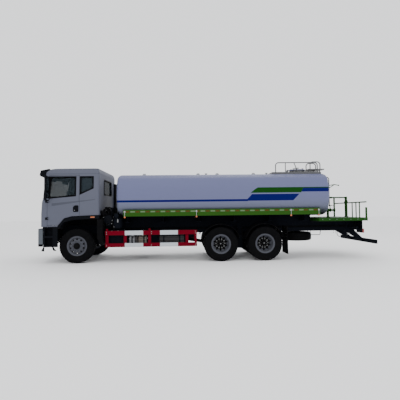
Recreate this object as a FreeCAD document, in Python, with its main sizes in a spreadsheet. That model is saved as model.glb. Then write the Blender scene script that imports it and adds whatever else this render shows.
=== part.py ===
import FreeCAD, Part
import math
import os
import Sketcher

# Tanker truck: a six-wheeled drive chassis with a tilting cab and an oval water tank.
# X points forwards, Y to the left and Z up. The ground is Z = 0 and the origin is the
# middle of the whole length and width. All lengths are millimetres.

DOC = FreeCAD.newDocument("TankerTruck")
SHEET = DOC.addObject("Spreadsheet::Sheet", "Sizes")

SIZES = {
    # Running gear
    "front_overhang": 1270,
    "wheelbase": 4350,
    "tandem_spacing": 1350,
    "rear_overhang": 3480,
    "tyre_radius": 520,
    "tyre_width": 278,
    "rim_flange": 300,
    "rim_barrel": 258,
    "rim_width": 210,
    "rim_lip": 10,
    "steer_wheel_y": 1010,
    "dual_y": 930,
    "dual_spacing": 320,
    "hub_bore_depth": 120,
    "hub_cap_radius": 78,
    "steer_hub_reach": 185,
    "drive_hub_reach": 115,
    "drum_radius": 205,
    "drum_wall": 17,
    "spindle_radius": 45,
    "running_gap": 0.5,
    "seat_gap": 0.3,
    "kingpin_y": 860,
    "kingpin_radius": 24,
    "kingpin_eye_radius": 50,
    "kingpin_eye_height": 160,
    "knuckle_ear": 90,
    "knuckle_web": 36,
    "fork_gap": 5,
    "beam_drop": 120,
    "beam_height": 105,
    "beam_depth": 110,
    "axle_tube_radius": 75,
    "diff_radius": 215,
    "diff_half_width": 150,
    "nose_radius": 110,
    "nose_length": 430,
    "backplate": 10,
    # Chassis frame
    "frame_half_width": 430,
    "rail_height": 280,
    "rail_top": 1120,
    "rail_flange": 80,
    "rail_wall": 12,
    "rail_front": 1010,
    "rail_rear_inset": 330,
    "cross_depth": 120,
    "cross_height": 150,
    "spring_width": 90,
    "spring_half_length": 800,
    "spring_arch": 110,
    "bogie_spring_half": 675,
    "trunnion_drop": 130,
    "trunnion_radius": 60,
    "leaf": 18,
    # Engine and driveline
    "engine_front": 500,
    "engine_rear": 620,
    "engine_half_width": 320,
    "engine_low": 660,
    "engine_top": 1400,
    "gearbox_radius": 210,
    "gearbox_length": 780,
    "driveline_height": 900,
    "shaft_radius": 55,
    "radiator_front": 800,
    "radiator_depth": 110,
    "radiator_half_width": 350,
    "radiator_low": 700,
    "radiator_top": 1130,
    # Cab
    "cab_face": 1195,
    "cab_back": 680,
    "cab_half_width": 1200,
    "cab_crown": 5000,
    "cab_corner": 150,
    "cab_back_corner": 70,
    "cab_low": 1110,
    "cab_sill_height": 1500,
    "cab_crease_height": 1850,
    "cab_belt_height": 2040,
    "cab_eave_height": 2700,
    "cab_roof_height": 2890,
    "cab_crease_setback": 22,
    "cab_belt_setback": 75,
    "cab_eave_setback": 140,
    "cab_eave_inset": 45,
    "cab_wall": 64,
    "panel_gap": 8,
    "roof_wall": 40,
    "floor_top": 1230,
    "floor_depth": 60,
    "floor_riser": 600,
    "floor_high": 1500,
    "pillar_front": 850,
    "pillar_slope": 55,
    "door_back": 90,
    "door_top": 2655,
    "door_hinge_inset": 27,
    "door_hinge_out": 14,
    "door_hinge_low": 1360,
    "door_hinge_high": 1870,
    "hinge_half": 35,
    "hinge_barrel": 9,
    "hinge_pin": 6,
    "hinge_leaf": 82,
    "glass": 6,
    "window_front": 795,
    "window_back": 30,
    "window_top": 2595,
    "window_low_front": 1985,
    "window_low_back": 2050,
    "window_radius": 55,
    "quarter_front": 135,
    "quarter_back": 490,
    "screen_half_width": 1060,
    "screen_low": 2010,
    "screen_top": 2640,
    "rear_window_half_width": 520,
    "rear_window_low": 2095,
    "rear_window_top": 2550,
    "arch_sill": 1150,
    "arch_crown": 1430,
    "arch_front": 540,
    "arch_back": 680,
    "arch_band": 110,
    "arch_lip": 20,
    "liner": 14,
    "pivot_x": 1115,
    "pivot_z": 1060,
    "pivot_pin": 22,
    "pivot_y": 400,
    "pivot_lug": 60,
    "flap_half_width": 840,
    "flap_low": 1190,
    "flap_top": 1800,
    "flap_depth": 34,
    "grille_half_width": 640,
    "grille_low": 1300,
    "grille_pitch": 68,
    "grille_slot": 40,
    "seat_y": 640,
    "seat_x": 90,
    "seat_width": 500,
    "seat_depth": 480,
    "seat_height": 1680,
    "seat_back_top": 2290,
    "cushion": 130,
    "wheel_x": 560,
    "wheel_z": 1980,
    "wheel_radius": 225,
    "wheel_rim": 16,
    "dash_depth": 360,
    "dash_low": 1560,
    "dash_top": 1960,
    "visor_reach": 185,
    "visor_low": 2640,
    "visor_lip": 35,
    "mirror_y": 1400,
    "mirror_x": 795,
    "mirror_half_width": 95,
    "mirror_thick": 60,
    "mirror_low": 1890,
    "mirror_top": 2610,
    "mirror_arm": 14,
    "intake_y": 1060,
    "intake_low": 1590,
    "intake_top": 2550,
    "intake_depth": 75,
    "intake_width": 260,
    # Front end
    "bumper_low": 530,
    "bumper_top": 1050,
    "bumper_half_width": 1250,
    "bumper_skin": 30,
    "bumper_return": 965,
    "tow_socket": 22,
    "tow_height": 620,
    "headlamp_low": 780,
    "headlamp_top": 960,
    "headlamp_inner": 620,
    "headlamp_outer": 1080,
    "headlamp_depth": 70,
    "step_front": 955,
    "step_back": 540,
    "step_inner": 960,
    "step_panel": 1180,
    "step_low": 510,
    "step_top": 1095,
    "step_clear": 640,
    "step_well": 150,
    # Tank
    "tank_front": 1050,
    "tank_back": 8020,
    "tank_half_width": 1195,
    "tank_low": 1350,
    "tank_top": 2750,
    "tank_side_radius": 1750,
    "tank_cap_radius": 2600,
    "tank_corner": 400,
    "tank_dish_back": 2400,
    "tank_dish_front": 4200,
    "tank_knuckle": 110,
    "saddle_thick": 16,
    "saddle_half_width": 900,
    "subframe_height": 90,
    "subframe_front": 870,
    "subframe_toe": 170,
    "skirt_front": 1390,
    "skirt_back": 7450,
    "skirt_low": 1390,
    "skirt_top": 1590,
    "skirt_y": 1130,
    "skirt_wall": 110,
    "walkway_front": 6170,
    "walkway_back": 7820,
    "walkway_half_width": 330,
    "walkway_height": 2800,
    "walkway_plate": 12,
    "coaming_x": 7100,
    "coaming_radius": 245,
    "coaming_height": 70,
    "lid_radius": 270,
    "lid_thick": 26,
    "lid_hinge": 330,
    "lid_pin": 8,
    "lid_lug": 60,
    "hand_rail_height": 330,
    "hoop_height": 367,
    "step_height": 100,
    "step_plate": 32,
    "ladder_x": 8130,
    "ladder_low": 1640,
    "ladder_top": 2620,
    "rail_tube": 17,
    # Side equipment
    "guard_y": 1150,
    "guard_thick": 30,
    "guard_front": 850,
    "guard_back": 3620,
    "guard_top_low": 830,
    "guard_top_high": 960,
    "guard_bottom_low": 470,
    "guard_bottom_high": 560,
    "guard_post": 90,
    "battery_front": 880,
    "battery_back": 1370,
    "battery_low": 560,
    "battery_top": 980,
    "box_inner": 520,
    "box_outer": 1020,
    "fuel_front": 1300,
    "fuel_back": 2500,
    "fuel_low": 480,
    "fuel_top": 980,
    "silencer_front": 2470,
    "silencer_back": 3220,
    "silencer_radius": 155,
    "air_tank_radius": 130,
    "air_tank_front": 1540,
    "air_tank_back": 2060,
    "side_tank_y": 800,
    "side_tank_z": 665,
    # Rear mudguards
    "mudguard_radius": 610,
    "mudguard_wall": 12,
    "mudguard_inner": 600,
    "mudguard_outer": 1235,
    "mudguard_low": 700,
    "flap_gap": 70,
    "rear_flap_low": 190,
    # Spare wheel
    "spare_x": 7000,
    "spare_z": 655,
    # Rear platform
    "platform_front": 7380,
    "platform_back": 8910,
    "platform_top": 1272,
    "platform_edge": 97,
    "platform_half_width": 1200,
    "platform_plate": 8,
    "platform_rail_top": 1755,
    "platform_rail": 20,
    "corner_post": 30,
    "near_post_top": 1590,
    "far_post_top": 2000,
    "tail_low": 780,
    "tail_panel": 30,
    "tail_lamp_height": 120,
    "underrun_low": 460,
    "underrun_height": 120,
    "underrun_depth": 60,
    "underrun_half_width": 1220,
    # Spray gear
    "cannon_x": 8790,
    "cannon_y": 0,
    "cannon_pipe": 48,
    "cannon_joint_z": 1760,
    "cannon_head_z": 1940,
    "cannon_barrel_length": 560,
    "cannon_barrel_radius": 24,
    "pipe_radius": 42,
    "pipe_y": 635,
    "pipe_z": 1512,
    "riser_x": 7890,
    "coupling_x": 8120,
    "coupling_bore": 32,
    "coupling_depth": 60,
    "flange": 62,
    "flange_thick": 16,
    "spray_y": 850,
    "spray_z": 2300,
    "spray_reach": 8170,
    "spray_bar": 13,
    "lamp": 45,
}


class Term:
    """A number together with the sheet expression that gives it."""

    def __init__(self, value, text):
        self.value = float(value)
        self.text = text

    def __add__(self, other):
        other = term(other)
        return Term(self.value + other.value, "(%s + %s)" % (self.text, other.text))

    def __radd__(self, other):
        return term(other) + self

    def __sub__(self, other):
        other = term(other)
        return Term(self.value - other.value, "(%s - %s)" % (self.text, other.text))

    def __rsub__(self, other):
        return term(other) - self

    def __mul__(self, other):
        other = term(other)
        return Term(self.value * other.value, "(%s * %s)" % (self.text, other.text))

    def __rmul__(self, other):
        return term(other) * self

    def __truediv__(self, other):
        other = term(other)
        return Term(self.value / other.value, "(%s / %s)" % (self.text, other.text))

    def __neg__(self):
        return Term(-self.value, "(0 - %s)" % self.text)

    def __float__(self):
        return self.value


def term(number):
    """Returns a number or a term as a term."""
    if isinstance(number, Term):
        return number
    return Term(number, repr(number))


class Names:
    """Holds every named size as a term."""


D = Names()
for row, (alias, value) in enumerate(SIZES.items(), start=1):
    cell = "A%d" % row
    SHEET.set(cell, str(value))
    SHEET.setAlias(cell, alias)
    setattr(D, alias, Term(value, "Sizes." + alias))
DOC.recompute()

# Main planes across the truck
OVERALL = D.front_overhang + D.wheelbase + D.tandem_spacing + D.rear_overhang
AXLE_1 = OVERALL / 2 - D.front_overhang
AXLE_2 = AXLE_1 - D.wheelbase
AXLE_3 = AXLE_2 - D.tandem_spacing
BOGIE = AXLE_2 - D.tandem_spacing / 2
AXLE_Z = D.tyre_radius
RAIL_LOW = D.rail_top - D.rail_height

NODES = []
X_AXIS = FreeCAD.Vector(1, 0, 0)
Y_AXIS = FreeCAD.Vector(0, 1, 0)
Z_AXIS = FreeCAD.Vector(0, 0, 1)
TURNS = {
    "x": FreeCAD.Rotation(Y_AXIS, 90),
    "y": FreeCAD.Rotation(X_AXIS, -90),
    "z": FreeCAD.Rotation(),
}


def tie(thing, name, size):
    """Binds one property of a document object to a term."""
    thing.setExpression(name, term(size).text)


def place(thing, x, y, z):
    """Binds an object's place to three terms."""
    tie(thing, "Placement.Base.x", x)
    tie(thing, "Placement.Base.y", y)
    tie(thing, "Placement.Base.z", z)


def box(name, x, y, z):
    """A block between two x, two y and two z planes."""
    block = DOC.addObject("Part::Box", name)
    tie(block, "Length", x[1] - term(x[0]))
    tie(block, "Width", y[1] - term(y[0]))
    tie(block, "Height", z[1] - term(z[0]))
    place(block, x[0], y[0], z[0])
    return block


def rod(name, axis, radius, start, length):
    """A cylinder that starts at a centre and runs along an axis."""
    cylinder = DOC.addObject("Part::Cylinder", name)
    cylinder.Placement = FreeCAD.Placement(FreeCAD.Vector(), TURNS[axis])
    tie(cylinder, "Radius", radius)
    tie(cylinder, "Height", length)
    place(cylinder, *start)
    return cylinder


def fuse(name, things):
    """One solid joined from several."""
    joined = DOC.addObject("Part::MultiFuse", name)
    joined.Shapes = things
    joined.Refine = True
    return joined


def cut(name, base, tool):
    """One object with another taken out of it."""
    result = DOC.addObject("Part::Cut", name)
    result.Base = base
    result.Tool = tool
    return result


def common(name, base, tool):
    """What two objects share."""
    result = DOC.addObject("Part::Common", name)
    result.Base = base
    result.Tool = tool
    return result


def group(name, things):
    """Several solids that stay apart, kept as one piece."""
    bundle = DOC.addObject("Part::Compound", name)
    bundle.Links = things
    return bundle


def mirrored(name, thing):
    """The same object on the other side of the truck."""
    twin = DOC.addObject("Part::Mirroring", name)
    twin.Source = thing
    twin.Normal = Y_AXIS
    return twin


def both_sides(name, thing):
    """An object and its mirror image, kept as one piece."""
    return group(name, [thing, mirrored(name + "_twin", thing)])


def origin_feature(body, role):
    """Finds one of a body's own origin planes."""
    return [part for part in body.Origin.OriginFeatures if part.Role == role][0]


def sketch_on(body, plane, points):
    """A closed outline on a body's own plane, each corner bound to two terms."""
    sketch = body.newObject("Sketcher::SketchObject", body.Name + "_outline")
    sketch.AttachmentSupport = [(origin_feature(body, plane + "_Plane"), "")]
    sketch.MapMode = "FlatFace"
    corners = [(term(u), term(v)) for u, v in points]
    vectors = [FreeCAD.Vector(u.value, v.value, 0) for u, v in corners]
    count = len(corners)
    for index in range(count):
        line = Part.LineSegment(vectors[index], vectors[(index + 1) % count])
        sketch.addGeometry(line, False)
    for index in range(count):
        joint = Sketcher.Constraint("Coincident", index, 2, (index + 1) % count, 1)
        sketch.addConstraint(joint)
    for index, (u, v) in enumerate(corners):
        for kind, size in (("DistanceX", u), ("DistanceY", v)):
            place_rule = Sketcher.Constraint(kind, -1, 1, index, 1, size.value)
            number = sketch.addConstraint(place_rule)
            sketch.setExpression("Constraints[%d]" % number, size.text)
    return sketch


def prism(name, plane, points, low, high):
    """An outline in a plane, padded between two places along that plane's axis."""
    body = DOC.addObject("PartDesign::Body", name)
    sketch = sketch_on(body, plane, points)
    offset = -term(high) if plane == "XZ" else term(low)
    tie(sketch, "AttachmentOffset.Base.z", offset)
    pad = body.newObject("PartDesign::Pad", name + "_pad")
    pad.Profile = sketch
    tie(pad, "Length", high - term(low))
    return body


TURNED = {"x": ("XZ", "H_Axis"), "y": ("YZ", "H_Axis"), "z": ("XZ", "V_Axis")}


def turned(name, axis, points, centre):
    """An outline of (along the axis, radius) points turned once about an axis."""
    plane, line = TURNED[axis]
    if axis == "z":
        points = [(radius, along) for along, radius in points]
    body = DOC.addObject("PartDesign::Body", name)
    sketch = sketch_on(body, plane, points)
    spin = body.newObject("PartDesign::Revolution", name + "_turn")
    spin.Profile = sketch
    spin.ReferenceAxis = (sketch, [line])
    spin.Angle = 360
    place(body, *centre)
    return body


def feature(name, shape):
    """A plain feature that keeps a shape made by Part's own functions."""
    kept = DOC.addObject("Part::Feature", name)
    kept.Shape = shape
    return kept


def vector(x, y, z):
    """A point from three terms or numbers."""
    return FreeCAD.Vector(float(x), float(y), float(z))


def bent_wire(points, bend):
    """Straight runs through points, joined by arcs of one bend radius."""
    edges = []
    start = points[0]
    for index in range(1, len(points) - 1):
        before, corner, after = points[index - 1 : index + 2]
        back = (before - corner).normalize()
        ahead = (after - corner).normalize()
        half = back.getAngle(ahead) / 2
        reach = bend / math.tan(half)
        enter = corner + back * reach
        leave = corner + ahead * reach
        middle_line = (back + ahead).normalize()
        middle = corner + middle_line * (bend / math.sin(half) - bend)
        if (enter - start).Length > D.seat_gap.value:
            edges.append(Part.LineSegment(start, enter).toShape())
        edges.append(Part.Arc(enter, middle, leave).toShape())
        start = leave
    edges.append(Part.LineSegment(start, points[-1]).toShape())
    return Part.Wire(edges)


def bent_tube(name, points, radius, bend):
    """A round bar or tube along bent runs."""
    spine = bent_wire([vector(*point) for point in points], float(bend))
    start = spine.Edges[0].valueAt(spine.Edges[0].FirstParameter)
    along = spine.Edges[0].tangentAt(spine.Edges[0].FirstParameter)
    circle = Part.Wire(Part.Circle(start, along, float(radius)).toShape())
    shape = spine.makePipeShell([circle], True, False, 1)
    return feature(name, shape)


def keep(name, thing):
    """Lists an object as a finished sub-part under its own label."""
    thing.Label = name
    NODES.append((name, thing))
    return thing


# Chassis frame


def rail_section(outer, inward):
    """The channel section of a side rail, open towards the middle."""
    wall = D.rail_wall
    flange = outer + inward * D.rail_flange
    web = outer + inward * wall
    return [
        (outer, RAIL_LOW),
        (flange, RAIL_LOW),
        (flange, RAIL_LOW + wall),
        (web, RAIL_LOW + wall),
        (web, D.rail_top - wall),
        (flange, D.rail_top - wall),
        (flange, D.rail_top),
        (outer, D.rail_top),
    ]


RAIL_FRONT = AXLE_1 + D.rail_front
RAIL_REAR = -OVERALL / 2 + D.rail_rear_inset
CROSS_SHARES = (0.011, 0.26, 0.36, 0.50, 0.60, 0.74, 0.87, 0.985)


def chassis_frame():
    """Two channel rails, the cross members and the brackets of the cab's pivot."""
    pieces = []
    for name, outer, inward in (
        ("rail_left", D.frame_half_width, -1),
        ("rail_right", -D.frame_half_width, 1),
    ):
        section = rail_section(outer, inward)
        pieces.append(prism(name, "YZ", section, RAIL_REAR, RAIL_FRONT))
    inner = D.frame_half_width - D.rail_wall
    middle = D.rail_top - D.rail_wall - D.cross_height / 2
    for index, share in enumerate(CROSS_SHARES):
        x = RAIL_FRONT - share * (RAIL_FRONT - RAIL_REAR)
        member = box(
            "cross_%d" % index,
            (x - D.cross_depth / 2, x + D.cross_depth / 2),
            (-inner, inner),
            (middle - D.cross_height / 2, middle + D.cross_height / 2),
        )
        pieces.append(member)
    pivot_x = AXLE_1 + D.pivot_x
    for side, y in (("left", D.pivot_y), ("right", -D.pivot_y)):
        bracket = prism(
            "pivot_bracket_" + side,
            "XZ",
            [
                (RAIL_FRONT - D.cross_depth, RAIL_LOW),
                (RAIL_FRONT, RAIL_LOW),
                (pivot_x + D.pivot_pin, D.pivot_z - D.pivot_pin * 2),
                (pivot_x + D.pivot_pin, D.pivot_z),
                (pivot_x - D.pivot_pin, D.pivot_z + D.pivot_pin),
                (RAIL_FRONT - D.cross_depth, D.rail_top),
            ],
            y - D.pivot_lug / 4,
            y + D.pivot_lug / 4,
        )
        pieces.append(bracket)
        pin_start = y - D.pivot_lug
        pin = rod(
            "pivot_pin_" + side, "y", D.pivot_pin / 2,
            (pivot_x, pin_start, D.pivot_z), D.pivot_lug * 2,
        )
        pieces.append(pin)
    return keep("chassis_frame", fuse("chassis_frame", pieces))


# Engine, radiator and driveline


def engine():
    """The engine and gearbox as one plain block with its radiator."""
    block = box(
        "engine_block",
        (AXLE_1 - D.engine_rear, AXLE_1 + D.engine_front),
        (-D.engine_half_width, D.engine_half_width),
        (D.engine_low, D.engine_top),
    )
    gearbox = rod(
        "gearbox", "x", D.gearbox_radius,
        (AXLE_1 - D.engine_rear - D.gearbox_length, 0, D.driveline_height),
        D.gearbox_length,
    )
    radiator = box(
        "radiator",
        (AXLE_1 + D.radiator_front - D.radiator_depth, AXLE_1 + D.radiator_front),
        (-D.radiator_half_width, D.radiator_half_width),
        (D.radiator_low, D.radiator_top),
    )
    joined = fuse("engine_and_gearbox", [block, gearbox])
    return keep("engine", group("engine", [joined, radiator]))


# Axles

def drive_axle(name, x):
    """A banjo housing with tubes, brake backplates and wheel spindles."""
    tube_end = D.dual_y - D.dual_spacing / 2 - D.rim_width / 2 + D.backplate
    spindle_end = D.dual_y + D.drive_hub_reach / 2
    plate = D.drum_radius - D.drum_wall * 2
    half = [
        (term(0), D.diff_radius),
        (D.diff_half_width * 0.7, D.diff_radius),
        (D.diff_half_width * 1.4, D.diff_radius * 0.6),
        (D.diff_half_width * 2.2, D.axle_tube_radius),
        (tube_end, D.axle_tube_radius),
        (tube_end, plate),
        (tube_end + D.backplate, plate),
        (tube_end + D.backplate, D.axle_tube_radius),
        (tube_end + D.backplate * 2, D.spindle_radius),
        (spindle_end, D.spindle_radius),
        (spindle_end, term(0)),
    ]
    outline = half + [(-y, radius) for y, radius in reversed(half[1:])]
    housing = turned(name + "_housing", "y", outline, (x, term(0), AXLE_Z))
    nose = rod(
        name + "_nose", "x", D.nose_radius,
        (x, term(0), AXLE_Z), D.nose_length,
    )
    return fuse(name, [housing, nose])


def drive_axles():
    """Both drive axles and the shafts that turn them."""
    front = drive_axle("drive_axle_front", AXLE_2)
    rear = drive_axle("drive_axle_rear", AXLE_3)
    gearbox_end = AXLE_1 - D.engine_rear - D.gearbox_length
    shaft_start = AXLE_2 + D.nose_length + D.seat_gap
    shaft = bent_tube(
        "main_shaft",
        [
            (gearbox_end - D.seat_gap, 0, D.driveline_height),
            (gearbox_end - D.shaft_radius, 0, D.driveline_height),
            (shaft_start + D.shaft_radius, 0, AXLE_Z),
            (shaft_start, 0, AXLE_Z),
        ],
        D.shaft_radius, D.shaft_radius * 1.5,
    )
    link = rod(
        "link_shaft", "x", D.shaft_radius,
        (AXLE_3 + D.nose_length + D.seat_gap, term(0), AXLE_Z),
        D.tandem_spacing - D.nose_length - D.diff_radius - D.seat_gap * 2,
    )
    return keep("drive_axles", group("drive_axles", [front, rear, shaft, link]))


def front_axle_beam():
    """A forged dropped beam with a kingpin eye at each end."""
    low = AXLE_Z - D.beam_drop
    half = D.beam_height / 2
    eye_y = D.kingpin_y - D.kingpin_eye_radius / 2
    outline = [
        (-eye_y, AXLE_Z - half),
        (-D.frame_half_width - D.spring_width, low - half),
        (D.frame_half_width + D.spring_width, low - half),
        (eye_y, AXLE_Z - half),
        (eye_y, AXLE_Z + half),
        (D.frame_half_width + D.spring_width, low + half),
        (-D.frame_half_width - D.spring_width, low + half),
        (-eye_y, AXLE_Z + half),
    ]
    beam = prism(
        "beam_body", "YZ", outline, AXLE_1 - D.beam_depth / 2, AXLE_1 + D.beam_depth / 2
    )
    pieces = [beam]
    bores = []
    for side, sign in (("left", 1), ("right", -1)):
        base = AXLE_Z - D.kingpin_eye_height / 2
        centre = (AXLE_1, sign * D.kingpin_y, base)
        eye = rod("eye_" + side, "z", D.kingpin_eye_radius, centre, D.kingpin_eye_height)
        bore = rod(
            "eye_bore_" + side, "z", D.kingpin_radius + D.running_gap,
            centre, D.kingpin_eye_height,
        )
        pieces.append(eye)
        bores.append(bore)
    solid = fuse("beam_solid", pieces)
    return keep("front_axle_beam", cut("front_axle_beam", solid, group("eye_bores", bores)))


def knuckle(side, sign):
    """A forked knuckle with its kingpin, brake backplate and wheel spindle."""
    y = sign * D.kingpin_y
    pin_half = D.kingpin_eye_height / 2 + D.knuckle_ear
    ear_low = AXLE_Z - pin_half
    ear_high = AXLE_Z + D.kingpin_eye_height / 2 + D.fork_gap
    ear_height = D.knuckle_ear - D.fork_gap
    pieces = [
        rod("kingpin_" + side, "z", D.kingpin_radius, (AXLE_1, y, ear_low), pin_half * 2),
    ]
    for level, z in (("low", ear_low), ("high", ear_high)):
        ear = rod(
            "ear_%s_%s" % (level, side), "z", D.kingpin_eye_radius,
            (AXLE_1, y, z), ear_height,
        )
        pieces.append(ear)
    inner = D.kingpin_y + D.kingpin_eye_radius + D.fork_gap
    outer = inner + D.knuckle_web
    span = (inner, outer) if sign > 0 else (-outer, -inner)
    web = box(
        "web_" + side,
        (AXLE_1 - D.kingpin_eye_radius, AXLE_1 + D.kingpin_eye_radius),
        span, (ear_low, AXLE_Z + pin_half),
    )
    pieces.append(web)
    for level, z in (("low", ear_low), ("high", ear_high)):
        span = (D.kingpin_y, outer) if sign > 0 else (-outer, -D.kingpin_y)
        arm = box(
            "arm_%s_%s" % (level, side),
            (AXLE_1 - D.kingpin_eye_radius, AXLE_1 + D.kingpin_eye_radius),
            span, (z, z + ear_height),
        )
        pieces.append(arm)
    reach = D.steer_wheel_y + D.hub_bore_depth - D.spindle_radius
    start = inner if sign > 0 else -reach
    spindle = rod(
        "spindle_" + side, "y", D.spindle_radius,
        (AXLE_1, start, AXLE_Z), reach - inner,
    )
    pieces.append(spindle)
    return keep("knuckle_" + side, fuse("knuckle_" + side, pieces))


# Wheels

TYRE_SHARES = (
    (-0.40, 0.00),
    (-0.47, 0.20),
    (-0.50, 0.45),
    (-0.49, 0.68),
    (-0.44, 0.88),
    (-0.38, 0.965),
    (-0.20, 1.00),
    (0.20, 1.00),
    (0.38, 0.965),
    (0.44, 0.88),
    (0.49, 0.68),
    (0.50, 0.45),
    (0.47, 0.20),
    (0.40, 0.00),
)


def tyre(name, x, y, z, axis="y"):
    """A closed tyre section turned about the wheel's axis."""
    bead = D.rim_barrel + D.seat_gap
    seat = D.rim_width / 2 - D.rim_lip * 2.6 - D.seat_gap
    cheek = D.rim_width / 2 - D.rim_lip - D.seat_gap
    over = D.rim_flange + D.rim_lip / 2
    wall = D.tyre_radius - over
    bulge = [(u * D.tyre_width, over + v * wall) for u, v in TYRE_SHARES]
    outline = (
        [(-seat, bead), (-cheek, D.rim_flange)] + bulge + [(cheek, D.rim_flange), (seat, bead)]
    )
    return turned(name, axis, outline, (x, y, z))


def rim_side(sign):
    """The flange and barrel of one rim side, from the barrel's outside inwards."""
    half = D.rim_width / 2
    lip = D.rim_lip
    return [
        (sign * (half - lip * 2.6), D.rim_barrel),
        (sign * (half - lip), D.rim_flange),
        (sign * half, D.rim_flange),
        (sign * (half - lip), D.rim_barrel),
        (sign * (half - lip * 2), D.rim_barrel * 0.955),
    ]


def steer_wheel_outline():
    """Rim, dished disc, hub and brake drum of a front wheel as one section."""
    half = D.rim_width / 2
    bore = D.spindle_radius + D.running_gap
    cap = D.hub_cap_radius
    wall = D.rim_barrel * 0.955
    drum_in = D.drum_radius - D.drum_wall
    face = half * 1.06
    left = rim_side(-1)
    right = rim_side(1)
    disc_outer = [
        (face, cap),
        (face, cap * 1.75),
        (half * 0.97, cap * 2.25),
        (half * 0.55, wall * 0.965),
        (half * 0.55, wall),
    ]
    disc_inner = [
        (half * 0.40, wall),
        (half * 0.42, wall * 0.95),
        (half * 0.80, cap * 2.2),
        (half * 0.88, cap * 1.7),
        (half * 0.60, cap * 1.6),
        (half * 0.60, D.drum_radius * 0.9),
        (half * 0.50, D.drum_radius),
        (-half * 1.10, D.drum_radius),
        (-half * 1.10, drum_in),
        (half * 0.34, drum_in),
        (half * 0.34, cap * 1.15),
        (-half * 0.20, cap * 1.15),
    ]
    return (
        [
            (-half * 0.20, bore),
            (D.hub_bore_depth, bore),
            (D.hub_bore_depth, term(0)),
            (D.steer_hub_reach, term(0)),
            (D.steer_hub_reach, cap * 0.75),
            (D.steer_hub_reach * 0.93, cap * 0.95),
        ]
        + disc_outer
        + list(reversed(right))
        + left
        + disc_inner
    )


def steer_wheel(side, sign):
    """A single front wheel: the rim with its hub, and its tyre."""
    outline = [(sign * y, radius) for y, radius in steer_wheel_outline()]
    y = sign * D.steer_wheel_y
    rim = turned("front_rim_" + side, "y", outline, (AXLE_1, y, AXLE_Z))
    keep("front_wheel_" + side, rim)
    keep("front_tyre_" + side, tyre("front_tyre_" + side, AXLE_1, y, AXLE_Z))


def drive_wheel_outline():
    """Twin rims bolted disc to disc, with hub and brake drum, as one section."""
    half = D.rim_width / 2
    gap = D.dual_spacing / 2
    bore = D.spindle_radius + D.running_gap
    cap = D.hub_cap_radius
    wall = D.rim_barrel * 0.955
    drum_in = D.drum_radius - D.drum_wall
    bore_end = D.drive_hub_reach * 0.62

    def moved(points, by):
        return [(by + u, v) for u, v in points]

    outer = moved(list(reversed(rim_side(1))) + rim_side(-1), gap)
    inner = moved(list(reversed(rim_side(1))) + rim_side(-1), -gap)
    disc = half * 0.12
    return (
        [
            (-gap, bore),
            (bore_end, bore),
            (bore_end, term(0)),
            (D.drive_hub_reach, term(0)),
            (D.drive_hub_reach, cap * 0.8),
            (D.drive_hub_reach * 0.85, cap),
            (disc * 2, cap * 1.15),
            (disc * 2, cap * 2.0),
            (gap - half * 0.55, wall * 0.93),
            (gap - half * 0.55, wall),
        ]
        + outer
        + [
            (gap - half * 0.75, wall),
            (gap - half * 0.75, wall * 0.93),
            (disc * 0.2, cap * 2.1),
            (-disc * 0.2, cap * 2.1),
            (-gap + half * 0.75, wall * 0.93),
            (-gap + half * 0.75, wall),
        ]
        + inner
        + [
            (-gap + half * 0.55, wall),
            (-gap + half * 0.55, wall * 0.93),
            (-disc * 2, cap * 2.0),
            (-disc * 2, cap * 1.6),
            (-disc * 9, cap * 1.6),
            (-disc * 9, D.drum_radius * 0.95),
            (-disc * 10, D.drum_radius),
            (-gap - half * 0.86, D.drum_radius),
            (-gap - half * 0.86, drum_in),
            (-disc * 11, drum_in),
            (-disc * 11, cap * 1.2),
            (-gap, cap * 1.2),
        ]
    )


def drive_wheel(place_name, axle_x, side, sign):
    """A pair of twin wheels on one hub, with their two tyres."""
    outline = [(sign * y, radius) for y, radius in drive_wheel_outline()]
    y = sign * D.dual_y
    name = "%s_%s" % (place_name, side)
    rim = turned("rims_" + name, "y", outline, (axle_x, y, AXLE_Z))
    keep("wheels_" + name, rim)
    pair = []
    for spot, offset in (("outer", D.dual_spacing / 2), ("inner", -D.dual_spacing / 2)):
        tyre_y = sign * (D.dual_y + offset)
        pair.append(tyre("tyre_%s_%s" % (spot, name), axle_x, tyre_y, AXLE_Z))
    keep("tyres_" + name, group("tyres_" + name, pair))


# Springs


LEAF_SHARES = (1.0, 0.8, 0.6, 0.4)


def leaf_pack(name, x, half, low, arch, y):
    """A curved stack of leaves, each shorter than the one above it."""

    def point(share, drop):
        return (x + half * share, low + arch * (share * share) - drop)

    top = []
    for share in (-1.0, -0.8, -0.6, -0.4, 0.0, 0.4, 0.6, 0.8, 1.0):
        top.append(point(share, -D.leaf))
    under = []
    for index, share in enumerate(LEAF_SHARES):
        if index:
            under.append((share, (index - 1) * D.leaf))
        under.append((share, index * D.leaf))
    right = [point(share, drop) for share, drop in under]
    middle = point(0.0, (len(LEAF_SHARES) - 1) * D.leaf)
    left = [point(-share, drop) for share, drop in reversed(under)]
    return prism(
        name, "XZ", top + right + [middle] + left,
        y - D.spring_width / 2, y + D.spring_width / 2,
    )


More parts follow.
